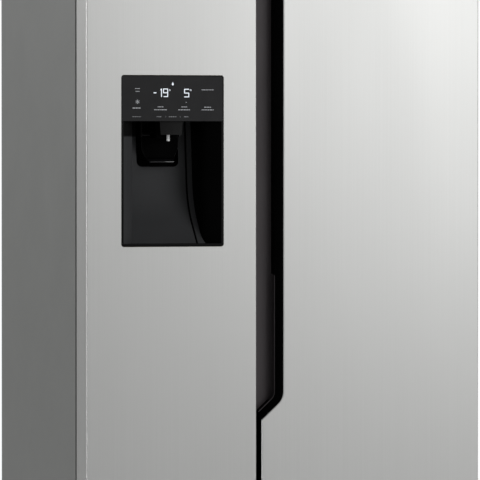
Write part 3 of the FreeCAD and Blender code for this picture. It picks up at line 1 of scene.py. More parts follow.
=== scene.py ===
import bpy
import bmesh
import json
import math
import random
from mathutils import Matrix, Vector

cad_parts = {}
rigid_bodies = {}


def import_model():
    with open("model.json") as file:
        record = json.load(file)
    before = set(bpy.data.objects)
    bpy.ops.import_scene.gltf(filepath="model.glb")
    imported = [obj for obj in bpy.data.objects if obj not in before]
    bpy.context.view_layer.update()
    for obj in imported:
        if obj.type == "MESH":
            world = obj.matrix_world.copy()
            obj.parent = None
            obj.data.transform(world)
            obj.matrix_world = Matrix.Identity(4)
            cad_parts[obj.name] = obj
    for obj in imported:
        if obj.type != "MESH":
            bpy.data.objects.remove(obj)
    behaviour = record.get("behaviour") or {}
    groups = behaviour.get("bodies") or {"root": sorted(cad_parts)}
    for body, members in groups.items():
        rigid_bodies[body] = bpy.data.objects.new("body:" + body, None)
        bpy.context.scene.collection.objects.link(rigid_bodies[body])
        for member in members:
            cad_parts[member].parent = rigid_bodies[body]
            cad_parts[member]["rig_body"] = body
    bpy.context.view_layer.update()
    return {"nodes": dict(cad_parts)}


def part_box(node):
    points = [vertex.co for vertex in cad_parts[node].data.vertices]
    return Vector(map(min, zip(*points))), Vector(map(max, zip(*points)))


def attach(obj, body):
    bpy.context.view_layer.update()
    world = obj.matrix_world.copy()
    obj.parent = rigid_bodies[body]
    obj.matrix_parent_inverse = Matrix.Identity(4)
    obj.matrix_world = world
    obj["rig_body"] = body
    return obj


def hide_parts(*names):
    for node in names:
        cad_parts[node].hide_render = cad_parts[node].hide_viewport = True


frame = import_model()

scene = bpy.context.scene
mm = 0.001

# camera: a long lens from the front left, at the height of the dispenser
cameraSetup = {
    "place": (-3.8584, -11.1573, 1.2406),
    "heading": 19.11,          # degrees right of straight ahead
    "dip": 1.02,               # degrees below level
    "lens": 394.5,             # millimetres, as is the sensor's width
    "sensor": 36.0,
    "reach": 200,              # metres
}

lightSetup = {
    "room": (0.93, 0.935, 0.94),
    "roomStrength": 0.15,
    "lights": {
        "keyRight": {"place": (1.9, -3.2, 1.7), "aim": (0.2, -0.3, 1.3), "size": (1.6, 1.6), "power": 34.5},
        "keyHigh": {"place": (1.0, -3.2, 2.5), "aim": (0.2, -0.3, 1.3), "size": (1.6, 1.6), "power": 15.5},
        "leftFill": {"place": (-4.2, -0.6, 2.2), "aim": (-0.45, 0.0, 1.1), "size": (2.0, 2.4), "power": 16},
        "leftEdge": {"place": (-3.0, -1.7, 1.2), "aim": (-0.45, -0.3, 1.2), "size": (0.3, 2.2), "power": 10},
        "leftBack": {"place": (-3.0, 2.2, 2.4), "aim": (-0.45, 0.0, 1.1), "size": (1.6, 1.6), "power": 40},
        "backFill": {"place": (1.5, 4.5, 2.8), "aim": (0.0, 0.3, 0.9), "size": (3.0, 2.0), "power": 70},
    },
}


def makeCamera():
    data = bpy.data.cameras.new("camera")
    data.lens = cameraSetup["lens"]
    data.sensor_width = cameraSetup["sensor"]
    data.clip_end = cameraSetup["reach"]
    camera = bpy.data.objects.new("camera", data)
    scene.collection.objects.link(camera)
    camera.location = cameraSetup["place"]
    camera.rotation_euler = (math.radians(90 - cameraSetup["dip"]), 0, math.radians(-cameraSetup["heading"]))
    scene.camera = camera


def makeRoom():
    # the lens sees a white backdrop, while the parts are lit by a dimmer room
    world = bpy.data.worlds.new("paleRoom")
    scene.world = world
    world.use_nodes = True
    tree = world.node_tree
    room = tree.nodes["Background"]
    room.inputs["Color"].default_value = (*lightSetup["room"], 1)
    room.inputs["Strength"].default_value = lightSetup["roomStrength"]
    backdrop = tree.nodes.new("ShaderNodeBackground")
    backdrop.inputs["Color"].default_value = (1, 1, 1, 1)
    sight = tree.nodes.new("ShaderNodeLightPath")
    choice = tree.nodes.new("ShaderNodeMixShader")
    tree.links.new(sight.outputs["Is Camera Ray"], choice.inputs[0])
    tree.links.new(room.outputs["Background"], choice.inputs[1])
    tree.links.new(backdrop.outputs["Background"], choice.inputs[2])
    tree.links.new(choice.outputs["Shader"], tree.nodes["World Output"].inputs["Surface"])


def makeLights():
    for name, facts in lightSetup["lights"].items():
        data = bpy.data.lights.new(name, "AREA")
        data.shape = "RECTANGLE"
        data.size, data.size_y = facts["size"]
        data.energy = facts["power"]
        light = bpy.data.objects.new(name, data)
        scene.collection.objects.link(light)
        light.location = facts["place"]
        towards = Vector(facts["aim"]) - Vector(facts["place"])
        light.rotation_euler = towards.to_track_quat("-Z", "Y").to_euler()
        light.visible_camera = False


makeCamera()
makeRoom()
makeLights()
scene.view_settings.view_transform = "Standard"
print("camera and lights are placed")


# node helpers shared by every finish
def startMaterial(name):
    material = bpy.data.materials.new(name)
    material.use_nodes = True
    tree = material.node_tree
    return material, tree, tree.nodes["Principled BSDF"]


def addNode(tree, kind, values=None, **settings):
    node = tree.nodes.new(kind)
    for key, value in settings.items():
        setattr(node, key, value)
    for key, value in (values or {}).items():
        node.inputs[key].default_value = value
    return node


# noise on the object's own coordinates, which a mapping can stretch
def surfaceNoise(tree, scale, stretch=(1, 1, 1), detail=3.0, roughness=0.5):
    place = addNode(tree, "ShaderNodeTexCoord")
    mapping = addNode(tree, "ShaderNodeMapping", {"Scale": stretch})
    noise = addNode(tree, "ShaderNodeTexNoise", {"Scale": scale, "Detail": detail, "Roughness": roughness})
    tree.links.new(place.outputs["Object"], mapping.inputs["Vector"])
    tree.links.new(mapping.outputs["Vector"], noise.inputs["Vector"])
    return noise


def rampBetween(tree, factor, low, high, edges=(0.3, 0.7)):
    ramp = addNode(tree, "ShaderNodeMapRange", {"From Min": edges[0], "From Max": edges[1], "To Min": low,
                                                "To Max": high})
    tree.links.new(factor, ramp.inputs["Value"])
    return ramp.outputs["Result"]


def mixColours(tree, factor, low, high):
    mix = addNode(tree, "ShaderNodeMix", data_type="RGBA")
    mix.inputs["A"].default_value = (*low, 1)
    mix.inputs["B"].default_value = (*high, 1)
    tree.links.new(factor, mix.inputs["Factor"])
    return mix.outputs["Result"]


def addBump(tree, shader, height, strength, distance):
    bump = addNode(tree, "ShaderNodeBump", {"Strength": strength, "Distance": distance})
    tree.links.new(height, bump.inputs["Height"])
    tree.links.new(bump.outputs["Normal"], shader.inputs["Normal"])


wearScale = 9.0      # broad patches of more and less gloss


# every plain finish: a mottled colour, an uneven gloss and a fine relief
def mottledFinish(name, colour, spread, gloss, grain, relief, metallic=0.0, specular=0.5):
    material, tree, shader = startMaterial(name)
    noise = surfaceNoise(tree, grain)
    dark = tuple(c * (1 - spread) for c in colour)
    light = tuple(min(1.0, c * (1 + spread)) for c in colour)
    tree.links.new(mixColours(tree, noise.outputs["Fac"], dark, light), shader.inputs["Base Color"])
    wear = surfaceNoise(tree, wearScale)
    tree.links.new(rampBetween(tree, wear.outputs["Fac"], gloss[0], gloss[1]), shader.inputs["Roughness"])
    addBump(tree, shader, noise.outputs["Fac"], 1.0, relief)
    shader.inputs["Metallic"].default_value = metallic
    shader.inputs["Specular IOR Level"].default_value = specular
    return material


doorSteelLook = {
    "dark": (0.575, 0.578, 0.566),
    "light": (0.600, 0.602, 0.592),
    "gloss": (0.40, 0.47),
    "metal": 0.55,
    "grain": (420, 420, 1.2),      # upright streaks
    "cloud": (3, 3, 0.8),
    "relief": 0.00001,
}


def brushedDoorSteel():
    # sheet with a faint upright grain under a satin film
    material, tree, shader = startMaterial("doorSteel")
    grain = surfaceNoise(tree, 1.0, doorSteelLook["grain"], 4.0, 0.65)
    cloud = surfaceNoise(tree, 1.0, doorSteelLook["cloud"], 2.0)
    tint = mixColours(tree, rampBetween(tree, grain.outputs["Fac"], 0.0, 1.0), doorSteelLook["dark"],
                      doorSteelLook["light"])
    tree.links.new(tint, shader.inputs["Base Color"])
    blend = addNode(tree, "ShaderNodeMath", {1: 0.5}, operation="MULTIPLY_ADD")
    tree.links.new(grain.outputs["Fac"], blend.inputs[0])
    tree.links.new(cloud.outputs["Fac"], blend.inputs[2])
    low, high = doorSteelLook["gloss"]
    tree.links.new(rampBetween(tree, blend.outputs["Value"], low, high, (0.4, 1.1)),
                   shader.inputs["Roughness"])
    addBump(tree, shader, grain.outputs["Fac"], 0.25, doorSteelLook["relief"])
    shader.inputs["Metallic"].default_value = doorSteelLook["metal"]
    return material


displayGlassLook = {
    "dark": (0.011, 0.011, 0.012),
    "light": (0.013, 0.013, 0.014),
    "gloss": (0.46, 0.54),
    "haze": 40.0,
    "specular": 0.2,
}


def displayGlass():
    look = displayGlassLook
    material, tree, shader = startMaterial("displayGlass")
    haze = surfaceNoise(tree, look["haze"])
    tree.links.new(mixColours(tree, haze.outputs["Fac"], look["dark"], look["light"]),
                   shader.inputs["Base Color"])
    tree.links.new(rampBetween(tree, haze.outputs["Fac"], *look["gloss"]), shader.inputs["Roughness"])
    shader.inputs["Specular IOR Level"].default_value = look["specular"]
    return material


litLook = {"haze": 300.0, "gloss": (0.30, 0.42), "unlit": (0.05, 0.05, 0.05)}


# lit segments behind the panel's face, uneven as light guides are
def litFinish(name, low, high, strength):
    material, tree, shader = startMaterial(name)
    haze = surfaceNoise(tree, litLook["haze"])
    tree.links.new(mixColours(tree, haze.outputs["Fac"], low, high), shader.inputs["Emission Color"])
    tree.links.new(rampBetween(tree, haze.outputs["Fac"], *litLook["gloss"]), shader.inputs["Roughness"])
    shader.inputs["Emission Strength"].default_value = strength
    shader.inputs["Base Color"].default_value = (*litLook["unlit"], 1)
    return material


clearLook = {
    "haze": 60.0,
    "gloss": (0.06, 0.12),
    "leastColour": 0.96,      # share of the full colour and of the full opacity in the haze's thin places
    "leastOpacity": 0.92,
}


def clearPlastic(name, colour, alpha):
    material, tree, shader = startMaterial(name)
    haze = surfaceNoise(tree, clearLook["haze"])
    pale = tuple(c * clearLook["leastColour"] for c in colour)
    tree.links.new(mixColours(tree, haze.outputs["Fac"], pale, colour), shader.inputs["Base Color"])
    tree.links.new(rampBetween(tree, haze.outputs["Fac"], *clearLook["gloss"]), shader.inputs["Roughness"])
    tree.links.new(rampBetween(tree, haze.outputs["Fac"], alpha * clearLook["leastOpacity"], alpha),
                   shader.inputs["Alpha"])
    return material


zincLook = {
    "cells": 95.0,
    "dark": (0.44, 0.45, 0.46),
    "light": (0.53, 0.54, 0.55),
    "gloss": (0.34, 0.50),
    "metal": 0.9,
}


def galvanisedSheet():
    # zinc flowers from cells of different grey
    material, tree, shader = startMaterial("galvanisedSheet")
    place = addNode(tree, "ShaderNodeTexCoord")
    cells = addNode(tree, "ShaderNodeTexVoronoi", {"Scale": zincLook["cells"]})
    tree.links.new(place.outputs["Object"], cells.inputs["Vector"])
    grey = addNode(tree, "ShaderNodeSeparateColor")
    tree.links.new(cells.outputs["Color"], grey.inputs["Color"])
    tree.links.new(mixColours(tree, grey.outputs["Red"], zincLook["dark"], zincLook["light"]),
                   shader.inputs["Base Color"])
    tree.links.new(rampBetween(tree, grey.outputs["Green"], *zincLook["gloss"], (0, 1)),
                   shader.inputs["Roughness"])
    shader.inputs["Metallic"].default_value = zincLook["metal"]
    return material


cavityLook = {
    "dark": (0.042, 0.043, 0.045),
    "light": (0.048, 0.049, 0.051),
    "shade": (0.002, 0.002, 0.002),
    "shadeHeights": (1.260, 1.264),      # metres above the floor, from none to full shade
    "shadeFade": 0.02,                   # metres right of the middle, over which it fades out
    "gloss": (0.60, 0.68),
    "grain": 1400.0,
    "relief": 0.00001,
    "specular": 0.15,
}


# the cavity's satin back, with painted shade that turns it black under its roof on the left of the nozzle
def cavitySatinAndShade():
    look = cavityLook
    low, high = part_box("dispenser_housing")
    middle = (low[0] + high[0]) / 2
    material, tree, shader = startMaterial("cavitySatinAndShade")
    noise = surfaceNoise(tree, look["grain"])
    satin = mixColours(tree, noise.outputs["Fac"], look["dark"], look["light"])
    place = addNode(tree, "ShaderNodeTexCoord")
    split = addNode(tree, "ShaderNodeSeparateXYZ")
    tree.links.new(place.outputs["Object"], split.inputs["Vector"])
    height = rampBetween(tree, split.outputs["Z"], 0.0, 1.0, look["shadeHeights"])
    side = rampBetween(tree, split.outputs["X"], 1.0, 0.0, (middle, middle + look["shadeFade"]))
    shade = addNode(tree, "ShaderNodeMath", operation="MULTIPLY")
    tree.links.new(height, shade.inputs[0])
    tree.links.new(side, shade.inputs[1])
    # painted shade: the satin is mixed to black under the roof
    shadeMix = addNode(tree, "ShaderNodeMix", data_type="RGBA")
    shadeMix.inputs["B"].default_value = (*look["shade"], 1)
    tree.links.new(satin, shadeMix.inputs["A"])
    tree.links.new(shade.outputs["Value"], shadeMix.inputs["Factor"])
    tree.links.new(shadeMix.outputs["Result"], shader.inputs["Base Color"])
    wear = surfaceNoise(tree, wearScale)
    tree.links.new(rampBetween(tree, wear.outputs["Fac"], *look["gloss"]), shader.inputs["Roughness"])
    shader.inputs["Specular IOR Level"].default_value = look["specular"]
    addBump(tree, shader, noise.outputs["Fac"], 1.0, look["relief"])
    return material


# a colour and how far it strays, roughness in glossy and dull patches, and a grain with its relief in metres
plainFinishes = {
    # painted highlight: the door sheets' bends, far lighter than the sheet itself
    "bendSteelHighlight": {"colour": (0.96, 0.96, 0.95), "spread": 0.02, "gloss": (0.20, 0.26),
        "grain": 900.0, "relief": 0.00001, "metallic": 0.5},
    "casePaint": {"colour": (0.225, 0.229, 0.222), "spread": 0.03, "gloss": (0.42, 0.50),
        "grain": 700.0, "relief": 0.00004},
    "satinBlack": {"colour": (0.018, 0.018, 0.019), "spread": 0.10, "gloss": (0.26, 0.34),
        "grain": 1400.0, "relief": 0.00001},
    "bezelBlack": {"colour": (0.003, 0.003, 0.003), "spread": 0.10, "gloss": (0.34, 0.42),
        "grain": 1400.0, "relief": 0.00001, "specular": 0.08},
    "nozzleBlack": {"colour": (0.008, 0.008, 0.008), "spread": 0.10, "gloss": (0.40, 0.48),
        "grain": 1400.0, "relief": 0.00001, "specular": 0.15},
    # the chute's own near black, and painted shade on the cavity's right side, roof, pocket and slit and on
    # the paddle above its lip
    "deepBlackAndShade": {"colour": (0.0012, 0.0012, 0.0012), "spread": 0.10, "gloss": (0.60, 0.72),
        "grain": 600.0, "relief": 0.00001, "specular": 0.02},
    # painted light: the handle trim's floor and lip, lighter than its black plastic where light falls
    "recessLitGrey": {"colour": (0.078, 0.068, 0.072), "spread": 0.06, "gloss": (0.50, 0.60),
        "grain": 1600.0, "relief": 0.00002, "specular": 0.30},
    # the edge trim's own black, and painted shade on the handle trim's slanted wall and the door edge in the
    # gap
    "recessBlackAndShade": {"colour": (0.0015, 0.0015, 0.0015), "spread": 0.10, "gloss": (0.50, 0.60),
        "grain": 1600.0, "relief": 0.00001, "specular": 0.04},
    "glossBlack": {"colour": (0.008, 0.008, 0.009), "spread": 0.06, "gloss": (0.06, 0.10),
        "grain": 300.0, "relief": 0.000002},
    "greyPlastic": {"colour": (0.17, 0.17, 0.17), "spread": 0.05, "gloss": (0.42, 0.52),
        "grain": 900.0, "relief": 0.00003},
    "capGrey": {"colour": (0.30, 0.30, 0.29), "spread": 0.04, "gloss": (0.38, 0.46),
        "grain": 900.0, "relief": 0.00002},
    "whiteLiner": {"colour": (0.80, 0.81, 0.81), "spread": 0.02, "gloss": (0.28, 0.36),
        "grain": 500.0, "relief": 0.00001},
    "foam": {"colour": (0.78, 0.68, 0.40), "spread": 0.12, "gloss": (0.85, 0.95),
        "grain": 220.0, "relief": 0.0006},
    "gasketGrey": {"colour": (0.20, 0.20, 0.20), "spread": 0.06, "gloss": (0.55, 0.65),
        "grain": 600.0, "relief": 0.00002},
    "blackRubber": {"colour": (0.020, 0.020, 0.020), "spread": 0.10, "gloss": (0.60, 0.75),
        "grain": 700.0, "relief": 0.00003},
    "aluminiumFin": {"colour": (0.70, 0.71, 0.72), "spread": 0.06, "gloss": (0.30, 0.42),
        "grain": 400.0, "relief": 0.00001, "metallic": 1.0},
    "zincSteel": {"colour": (0.52, 0.52, 0.50), "spread": 0.08, "gloss": (0.28, 0.40),
        "grain": 500.0, "relief": 0.00001, "metallic": 1.0},
    "compressorEnamel": {"colour": (0.014, 0.014, 0.015), "spread": 0.10, "gloss": (0.24, 0.34),
        "grain": 260.0, "relief": 0.00005},
    "copper": {"colour": (0.72, 0.34, 0.20), "spread": 0.10, "gloss": (0.24, 0.40),
        "grain": 300.0, "relief": 0.00001, "metallic": 1.0},
    "lampLens": {"colour": (0.92, 0.92, 0.89), "spread": 0.02, "gloss": (0.30, 0.40),
        "grain": 800.0, "relief": 0.00002},
}

finishes = {name: mottledFinish(name, **look) for name, look in plainFinishes.items()}
finishes |= {
    "doorSteel": brushedDoorSteel(),
    "galvanised": galvanisedSheet(),
    "cavitySatinAndShade": cavitySatinAndShade(),
    "displayGlass": displayGlass(),
    "litFigure": litFinish("litFigure", (0.80, 0.88, 0.98), (0.90, 0.95, 1.0), 1.0),
    "litLabel": litFinish("litLabel", (0.50, 0.52, 0.55), (0.60, 0.62, 0.66), 0.55),
    "dimLabel": litFinish("dimLabel", (0.30, 0.31, 0.33), (0.36, 0.37, 0.40), 0.35),
    "shelfGlass": clearPlastic("shelfGlass", (0.80, 0.92, 0.88), 0.30),
    "clearPlastic": clearPlastic("clearPlastic", (0.86, 0.90, 0.92), 0.42),
}
print(len(finishes), "finishes are ready")


nodeFinish = {
    "casePaint": ["outer_shell", "centre_strip", "machine_cover"],
    "galvanised": ["back_panel", "stepped_floor", "base_frame"],
    "satinBlack": ["evaporator_fan", "condenser_fan", "mains_gland", "levelling_feet", "rear_rollers"],
    "recessBlackAndShade": ["freezer_door_edge_trim"],
    "deepBlackAndShade": ["ice_chute", "chute_flap"],
    "displayGlass": ["dispenser_panel"],
    "greyPlastic": ["fan_motors", "ice_maker", "ice_auger", "ice_auger_motor", "hinge_covers", "control_box",
                    "water_valve", "kick_plate"],
    "capGrey": ["freezer_door_caps", "fridge_door_caps"],
    "whiteLiner": ["freezer_liner", "fridge_liner", "evaporator_cover", "fridge_air_duct", "shelf_trims",
                   "freezer_door_liner", "fridge_door_liner", "water_spout"],
    "foam": ["cabinet_insulation", "freezer_door_core", "fridge_door_core"],
    "shelfGlass": ["glass_shelves"],
    "clearPlastic": ["ice_bucket", "freezer_drawer_upper", "freezer_drawer_lower", "fridge_drawer_upper",
                     "fridge_drawer_lower", "freezer_door_bins", "fridge_door_bins", "dairy_lid"],
    "blackRubber": ["compressor_grommets"],
    "aluminiumFin": ["evaporator_coil", "condenser_coil"],
    "zincSteel": ["upper_hinges", "lower_hinges"],
    "compressorEnamel": ["compressor"],
    "lampLens": ["cabinet_lights"],
}

easedEdges = {                  # edge radius in millimetres, where the moulding or pressing shows one
    "freezer_door_liner": 3.0, "fridge_door_liner": 3.0, "freezer_liner": 1.2, "fridge_liner": 1.2,
    "freezer_drawer_upper": 1.0, "freezer_drawer_lower": 1.0, "fridge_drawer_upper": 1.0,
    "fridge_drawer_lower": 1.0, "freezer_door_bins": 1.0, "fridge_door_bins": 1.0, "ice_bucket": 1.0,
    "fridge_air_duct": 1.5, "ice_maker": 1.0, "ice_auger_motor": 2.0, "control_box": 1.0, "kick_plate": 0.6,
    "shelf_trims": 0.8, "freezer_door_caps": 1.0, "fridge_door_caps": 1.0, "outer_shell": 0.35,
    "lower_hinges": 0.6, "dispenser_panel": 0.2, "glass_shelves": 0.4, "dairy_lid": 0.5,
    "cabinet_lights": 1.0, "water_valve": 1.0, "dispenser_paddle": 0.8, "dispenser_housing": 0.5,
    "handle_trim": 0.5,
}

creaseAngle = math.radians(32)      # sharper edges than this stay crisp
easedAngle = math.radians(40)       # sharper edges than this can be rounded
flatAngle = math.radians(0.5)       # facets that turn less are one face
sameDistance = 1e-6                 # metres, corners this near are one
broadFace = 0.02                    # m2, above the widest facet of a bend


def shadeByAngle(mesh):
    for polygon in mesh.polygons:
        polygon.use_smooth = True
    mesh.set_sharp_from_angle(angle=creaseAngle)


def newPiece(name, mesh, finishNames, body, replaced=()):
    piece = bpy.data.objects.new(name, mesh)
    scene.collection.objects.link(piece)
    marks = [polygon.material_index for polygon in mesh.polygons]
    mesh.materials.clear()      # this also sets every face's index to 0
    for finishName in finishNames:
        mesh.materials.append(finishes[finishName])
    mesh.polygons.foreach_set("material_index", marks)
    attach(piece, body)
    if replaced:
        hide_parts(*replaced)
    return piece


# rounds the sharp edges by a radius in metres
def easeEdges(shape, radius):
    sharp = [edge for edge in shape.edges if len(edge.link_faces) == 2
             and edge.calc_face_angle(0) > easedAngle]
    bmesh.ops.bevel(shape, geom=sharp, offset=radius, segments=3, affect="EDGES", clamp_overlap=True,
                    profile=0.5)


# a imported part's copy, with its facets merged, its edges eased and its faces given their finishes
def finishedCopy(nodeName, finishNames, chooseFinish=None):
    source = frame["nodes"][nodeName]
    mesh = source.data.copy()
    mesh.name = nodeName + "Finished"
    shape = bmesh.new()
    shape.from_mesh(mesh)
    bmesh.ops.remove_doubles(shape, verts=shape.verts, dist=sameDistance)
    bmesh.ops.dissolve_limit(shape, angle_limit=flatAngle, verts=shape.verts, edges=shape.edges)
    for face in shape.faces:
        face.material_index = 0
        if chooseFinish:
            face.material_index = chooseFinish(face.calc_center_median(), face.normal)
    if nodeName in easedEdges:
        easeEdges(shape, easedEdges[nodeName] * mm)
    # broad sheets shade flat, or the bends beside them tint them in wedges
    for face in shape.faces:
        face.smooth = face.calc_area() < broadFace
    bmesh.ops.triangulate(shape, faces=[face for face in shape.faces if len(face.verts) > 4])
    shape.to_mesh(mesh)
    shape.free()
    smoothFaces = [polygon.use_smooth for polygon in mesh.polygons]
    shadeByAngle(mesh)      # this also sets every face smooth
    mesh.polygons.foreach_set("use_smooth", smoothFaces)
    return newPiece(nodeName + ".finished", mesh, finishNames, source["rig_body"],
                    [nodeName])


for finishName, nodeNames in nodeFinish.items():
    for nodeName in nodeNames:
        finishedCopy(nodeName, [finishName])
print("the packed parts have their finished copies")

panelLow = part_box("dispenser_panel")[0]
housingLow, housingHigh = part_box("dispenser_housing")
housingMiddle = (housingLow[0] + housingHigh[0]) / 2
doorFront = housingLow[1]

housingLook = {
    "faceDepth": 0.4 * mm,      # what lies nearer the front than this is the bezel's face
    "backHalf": 80 * mm,        # the satin back reaches this far each side of the middle
    # a slit across the back, painted black as its shadow
    "groove": (61 * mm, 66 * mm),
    "windowDepth": 116 * mm,
    "nozzleDepth": 20 * mm,
    "nozzleHalf": 30 * mm,      # half the nozzle's width
    "roofGap": 1 * mm,          # the roof starts this far below the panel
    "facing": 0.3,              # a face that leans further than this looks forward or right
}


# bezel and nozzle are satin and the scooped back is lighter; the right side, roof, pocket and a slit in the
# back are painted black as shade
def housingFinish(centre, normal):
    depth = centre.y - doorFront
    across = centre.x - housingMiddle
    if depth < housingLook["faceDepth"]:
        return 0
    grooveStart, grooveEnd = housingLook["groove"]
    inShadowSlit = grooveStart < across < grooveEnd
    # painted shade: the roof and the deep pocket are black
    if centre.z > panelLow[2] - housingLook["roofGap"] or depth > housingLook["windowDepth"]:
        return 2
    facing = housingLook["facing"]
    behindNozzle = depth > housingLook["nozzleDepth"]
    if normal.y < -facing and behindNozzle and abs(across) < housingLook["backHalf"]:
        return 2 if inShadowSlit else 1
    if depth < housingLook["nozzleDepth"] and abs(across) < housingLook["nozzleHalf"]:
        return 3
    # painted shade: the right side is black while the left side stays satin
    return 1 if normal.x > facing else 2


finishedCopy("dispenser_housing", ["bezelBlack", "cavitySatinAndShade", "deepBlackAndShade", "nozzleBlack"], housingFinish)

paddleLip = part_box("dispenser_paddle")[0][2] + 7 * mm


# only the paddle's curled lip is glossy; above it the paddle is painted near black as shade in the pocket
def paddleFinish(centre, normal):
    return 0 if centre.z < paddleLip else 1


finishedCopy("dispenser_paddle", ["glossBlack", "deepBlackAndShade"], paddleFinish)

skinLook = {
    "gapEdge": (-54.5 * mm, -50 * mm),      # where the fridge door's edge lies below the recess
    "edgeFacing": -0.9,                     # its faces look to the left
    "bend": (-0.97, -0.25),                 # a bend's faces look this far forward
}


# the bends of the door sheets are painted lighter as a highlight, and the edge below the recess, in the gap,
# is painted black as shade
def skinFinish(centre, normal):
    edgeStart, edgeEnd = skinLook["gapEdge"]
    bendStart, bendEnd = skinLook["bend"]
    if normal.x < skinLook["edgeFacing"] and edgeStart < centre.x < edgeEnd:
        return 2
    return 1 if bendStart < normal.y < bendEnd else 0


for nodeName in ("freezer_door_skin", "fridge_door_skin"):
    finishedCopy(nodeName, ["doorSteel", "bendSteelHighlight", "recessBlackAndShade"], skinFinish)

floorFacing = -0.8      # the floor of the recess looks forward


# the recess's floor is painted dark grey where light falls on it, and its slanted wall is painted black as
# shade
def trimFinish(centre, normal):
    return 0 if normal.y < floorFacing else 1


finishedCopy("handle_trim", ["recessLitGrey", "recessBlackAndShade"], trimFinish)

# millimetres, from the panel's lower left corner: places come first in each row, then sizes
displayLook = {
    "lift": 0.12,               # figures stand this far before the glass
    "sink": 0.05,               # and reach this far into it
    "stroke": 1.9,
    "figureHeight": 18.4,
    "figures": [("1", 86.8, 52.3, 4.0), ("9", 93.5, 52.3, 11.4), ("5", 141.6, 51.8, 11.6)],
    "minus": (71.6, 60.3, 7.0, 2.0),
    "degrees": [(108.7, 67.2), (156.6, 67.2)],
    "degreeRadius": 1.5,
    "fineStroke": 0.7,
    "drop": (115.6, 81.0),
    "dropRadius": 2.2,
    "dropSink": 1.2,            # from the drop's place down to its round part's middle
    "dropTip": 4.0,
    "flake": (35.2, 41.7, 4.4),
    "fork": (0.62, 1.5, 0.55),  # how far out on an arm of the flake, then length and stroke
    "dot": (146.3, 40.8, 0.9),
    "labels": [(35.2, 70.4, 11.5, 1.5), (35.2, 64.4, 9.3, 1.5), (34.0, 28.3, 20.7, 1.9),
               (195.4, 68.1, 27.7, 1.5), (195.4, 30.4, 16.1, 1.5), (195.4, 24.6, 28.0, 1.5),
               (87.7, 30.9, 13.8, 1.5), (87.7, 24.6, 30.0, 1.5), (141.7, 30.9, 13.8, 1.5),
               (141.7, 24.6, 27.7, 1.5)],
    "dimLabels": [(33.3, 9.5, 19.6, 1.4), (84.3, 9.5, 11.5, 1.7), (115.6, 9.5, 18.4, 1.7),
                  (147.0, 9.5, 11.5, 1.7), (99.5, 9.5, 0.7, 3.0), (132.5, 9.5, 0.7, 3.0)],
    "dash": (2.2, 6.5),         # a label is a row of dashes, between these in length
    "dashGap": 0.6,
    "seed": 4,
}

# strokes of a figure, between corners of a grid one wide and two high
figureStrokes = {
    "1": [((1, 2), (1, 0)), ((1, 2), (0.2, 1.74))],
    "5": [((1, 2), (0, 2)), ((0, 2), (0, 1)), ((0, 1), (1, 1)), ((1, 1), (1, 0)), ((1, 0), (0, 0))],
    "9": [((0, 2), (1, 2)), ((0, 2), (0, 1)), ((0, 1), (1, 1)), ((1, 2), (1, 1)), ((1, 1), (1, 0)),
          ((1, 0), (0.1, 0))],
}


# a thin lit shape on the glass, from corners given as (u, v) in millimetres
def raiseShape(shape, corners):
    back = panelLow[1] + displayLook["sink"] * mm
    face = panelLow[1] - displayLook["lift"] * mm
    rings = []
    for y in (face, back):
        rings.append([shape.verts.new((panelLow[0] + u * mm, y, panelLow[2] + v * mm)) for u, v in corners])
    shape.faces.new(rings[0])
    shape.faces.new(list(reversed(rings[1])))
    count = len(corners)
    for i in range(count):
        j = (i + 1) % count
        shape.faces.new((rings[0][j], rings[0][i], rings[1][i], rings[1][j]))


capFacets = 4      # of a stroke's round end


# the outline of a stroke with round ends
def strokeCorners(start, end, thick):
    along = (Vector(end) - Vector(start)).normalized()
    angle = math.atan2(along.y, along.x)
    corners = []
    for centre, turn in ((end, -90), (start, 90)):
        for step in range(capFacets + 1):
            a = angle + math.radians(turn + step * 180 / capFacets)
            corners.append((centre[0] + math.cos(a) * thick / 2, centre[1] + math.sin(a) * thick / 2))
    return corners


# the point at an angle and a distance from a middle
def pointAround(middle, angle, distance):
    return (middle[0] + distance * math.cos(angle), middle[1] + distance * math.sin(angle))


def diskCorners(u, v, radius, sides=16):
    return [pointAround((u, v), math.tau * i / sides, radius) for i in range(sides)]


def litPiece(name, finishName, outlines):
    shape = bmesh.new()
    for corners in outlines:
        raiseShape(shape, corners)
    bmesh.ops.recalc_face_normals(shape, faces=shape.faces)
    mesh = bpy.data.meshes.new(name)
    shape.to_mesh(mesh)
    shape.free()
    return newPiece(name, mesh, [finishName], "freezer_door")


# the two temperatures, their minus and degree signs, and a drop of water
def figureOutlines():
    look = displayLook
    thick = look["stroke"]
    half = (look["figureHeight"] - thick) / 2
    found = []
    for figure, u, v, wide in look["figures"]:
        for start, end in figureStrokes[figure]:
            ends = [(u + thick / 2 + x * (wide - thick), v + thick / 2 + y * half) for x, y in (start, end)]
            found.append(strokeCorners(ends[0], ends[1], thick))
    u, v, wide, high = look["minus"]
    found.append(strokeCorners((u + high / 2, v + high / 2), (u + wide - high / 2, v + high / 2), high))
    for u, v in look["degrees"]:
        ring = diskCorners(u, v, look["degreeRadius"], 8)
        for start, end in zip(ring, ring[1:] + ring[:1]):
            found.append(strokeCorners(start, end, look["fineStroke"]))
    u, v = look["drop"]
    middle = (u, v - look["dropSink"])
    found.append([pointAround(middle, math.radians(t), look["dropRadius"]) for t in range(-200, 30, 20)]
                 + [(u, v + look["dropTip"])])
    return found


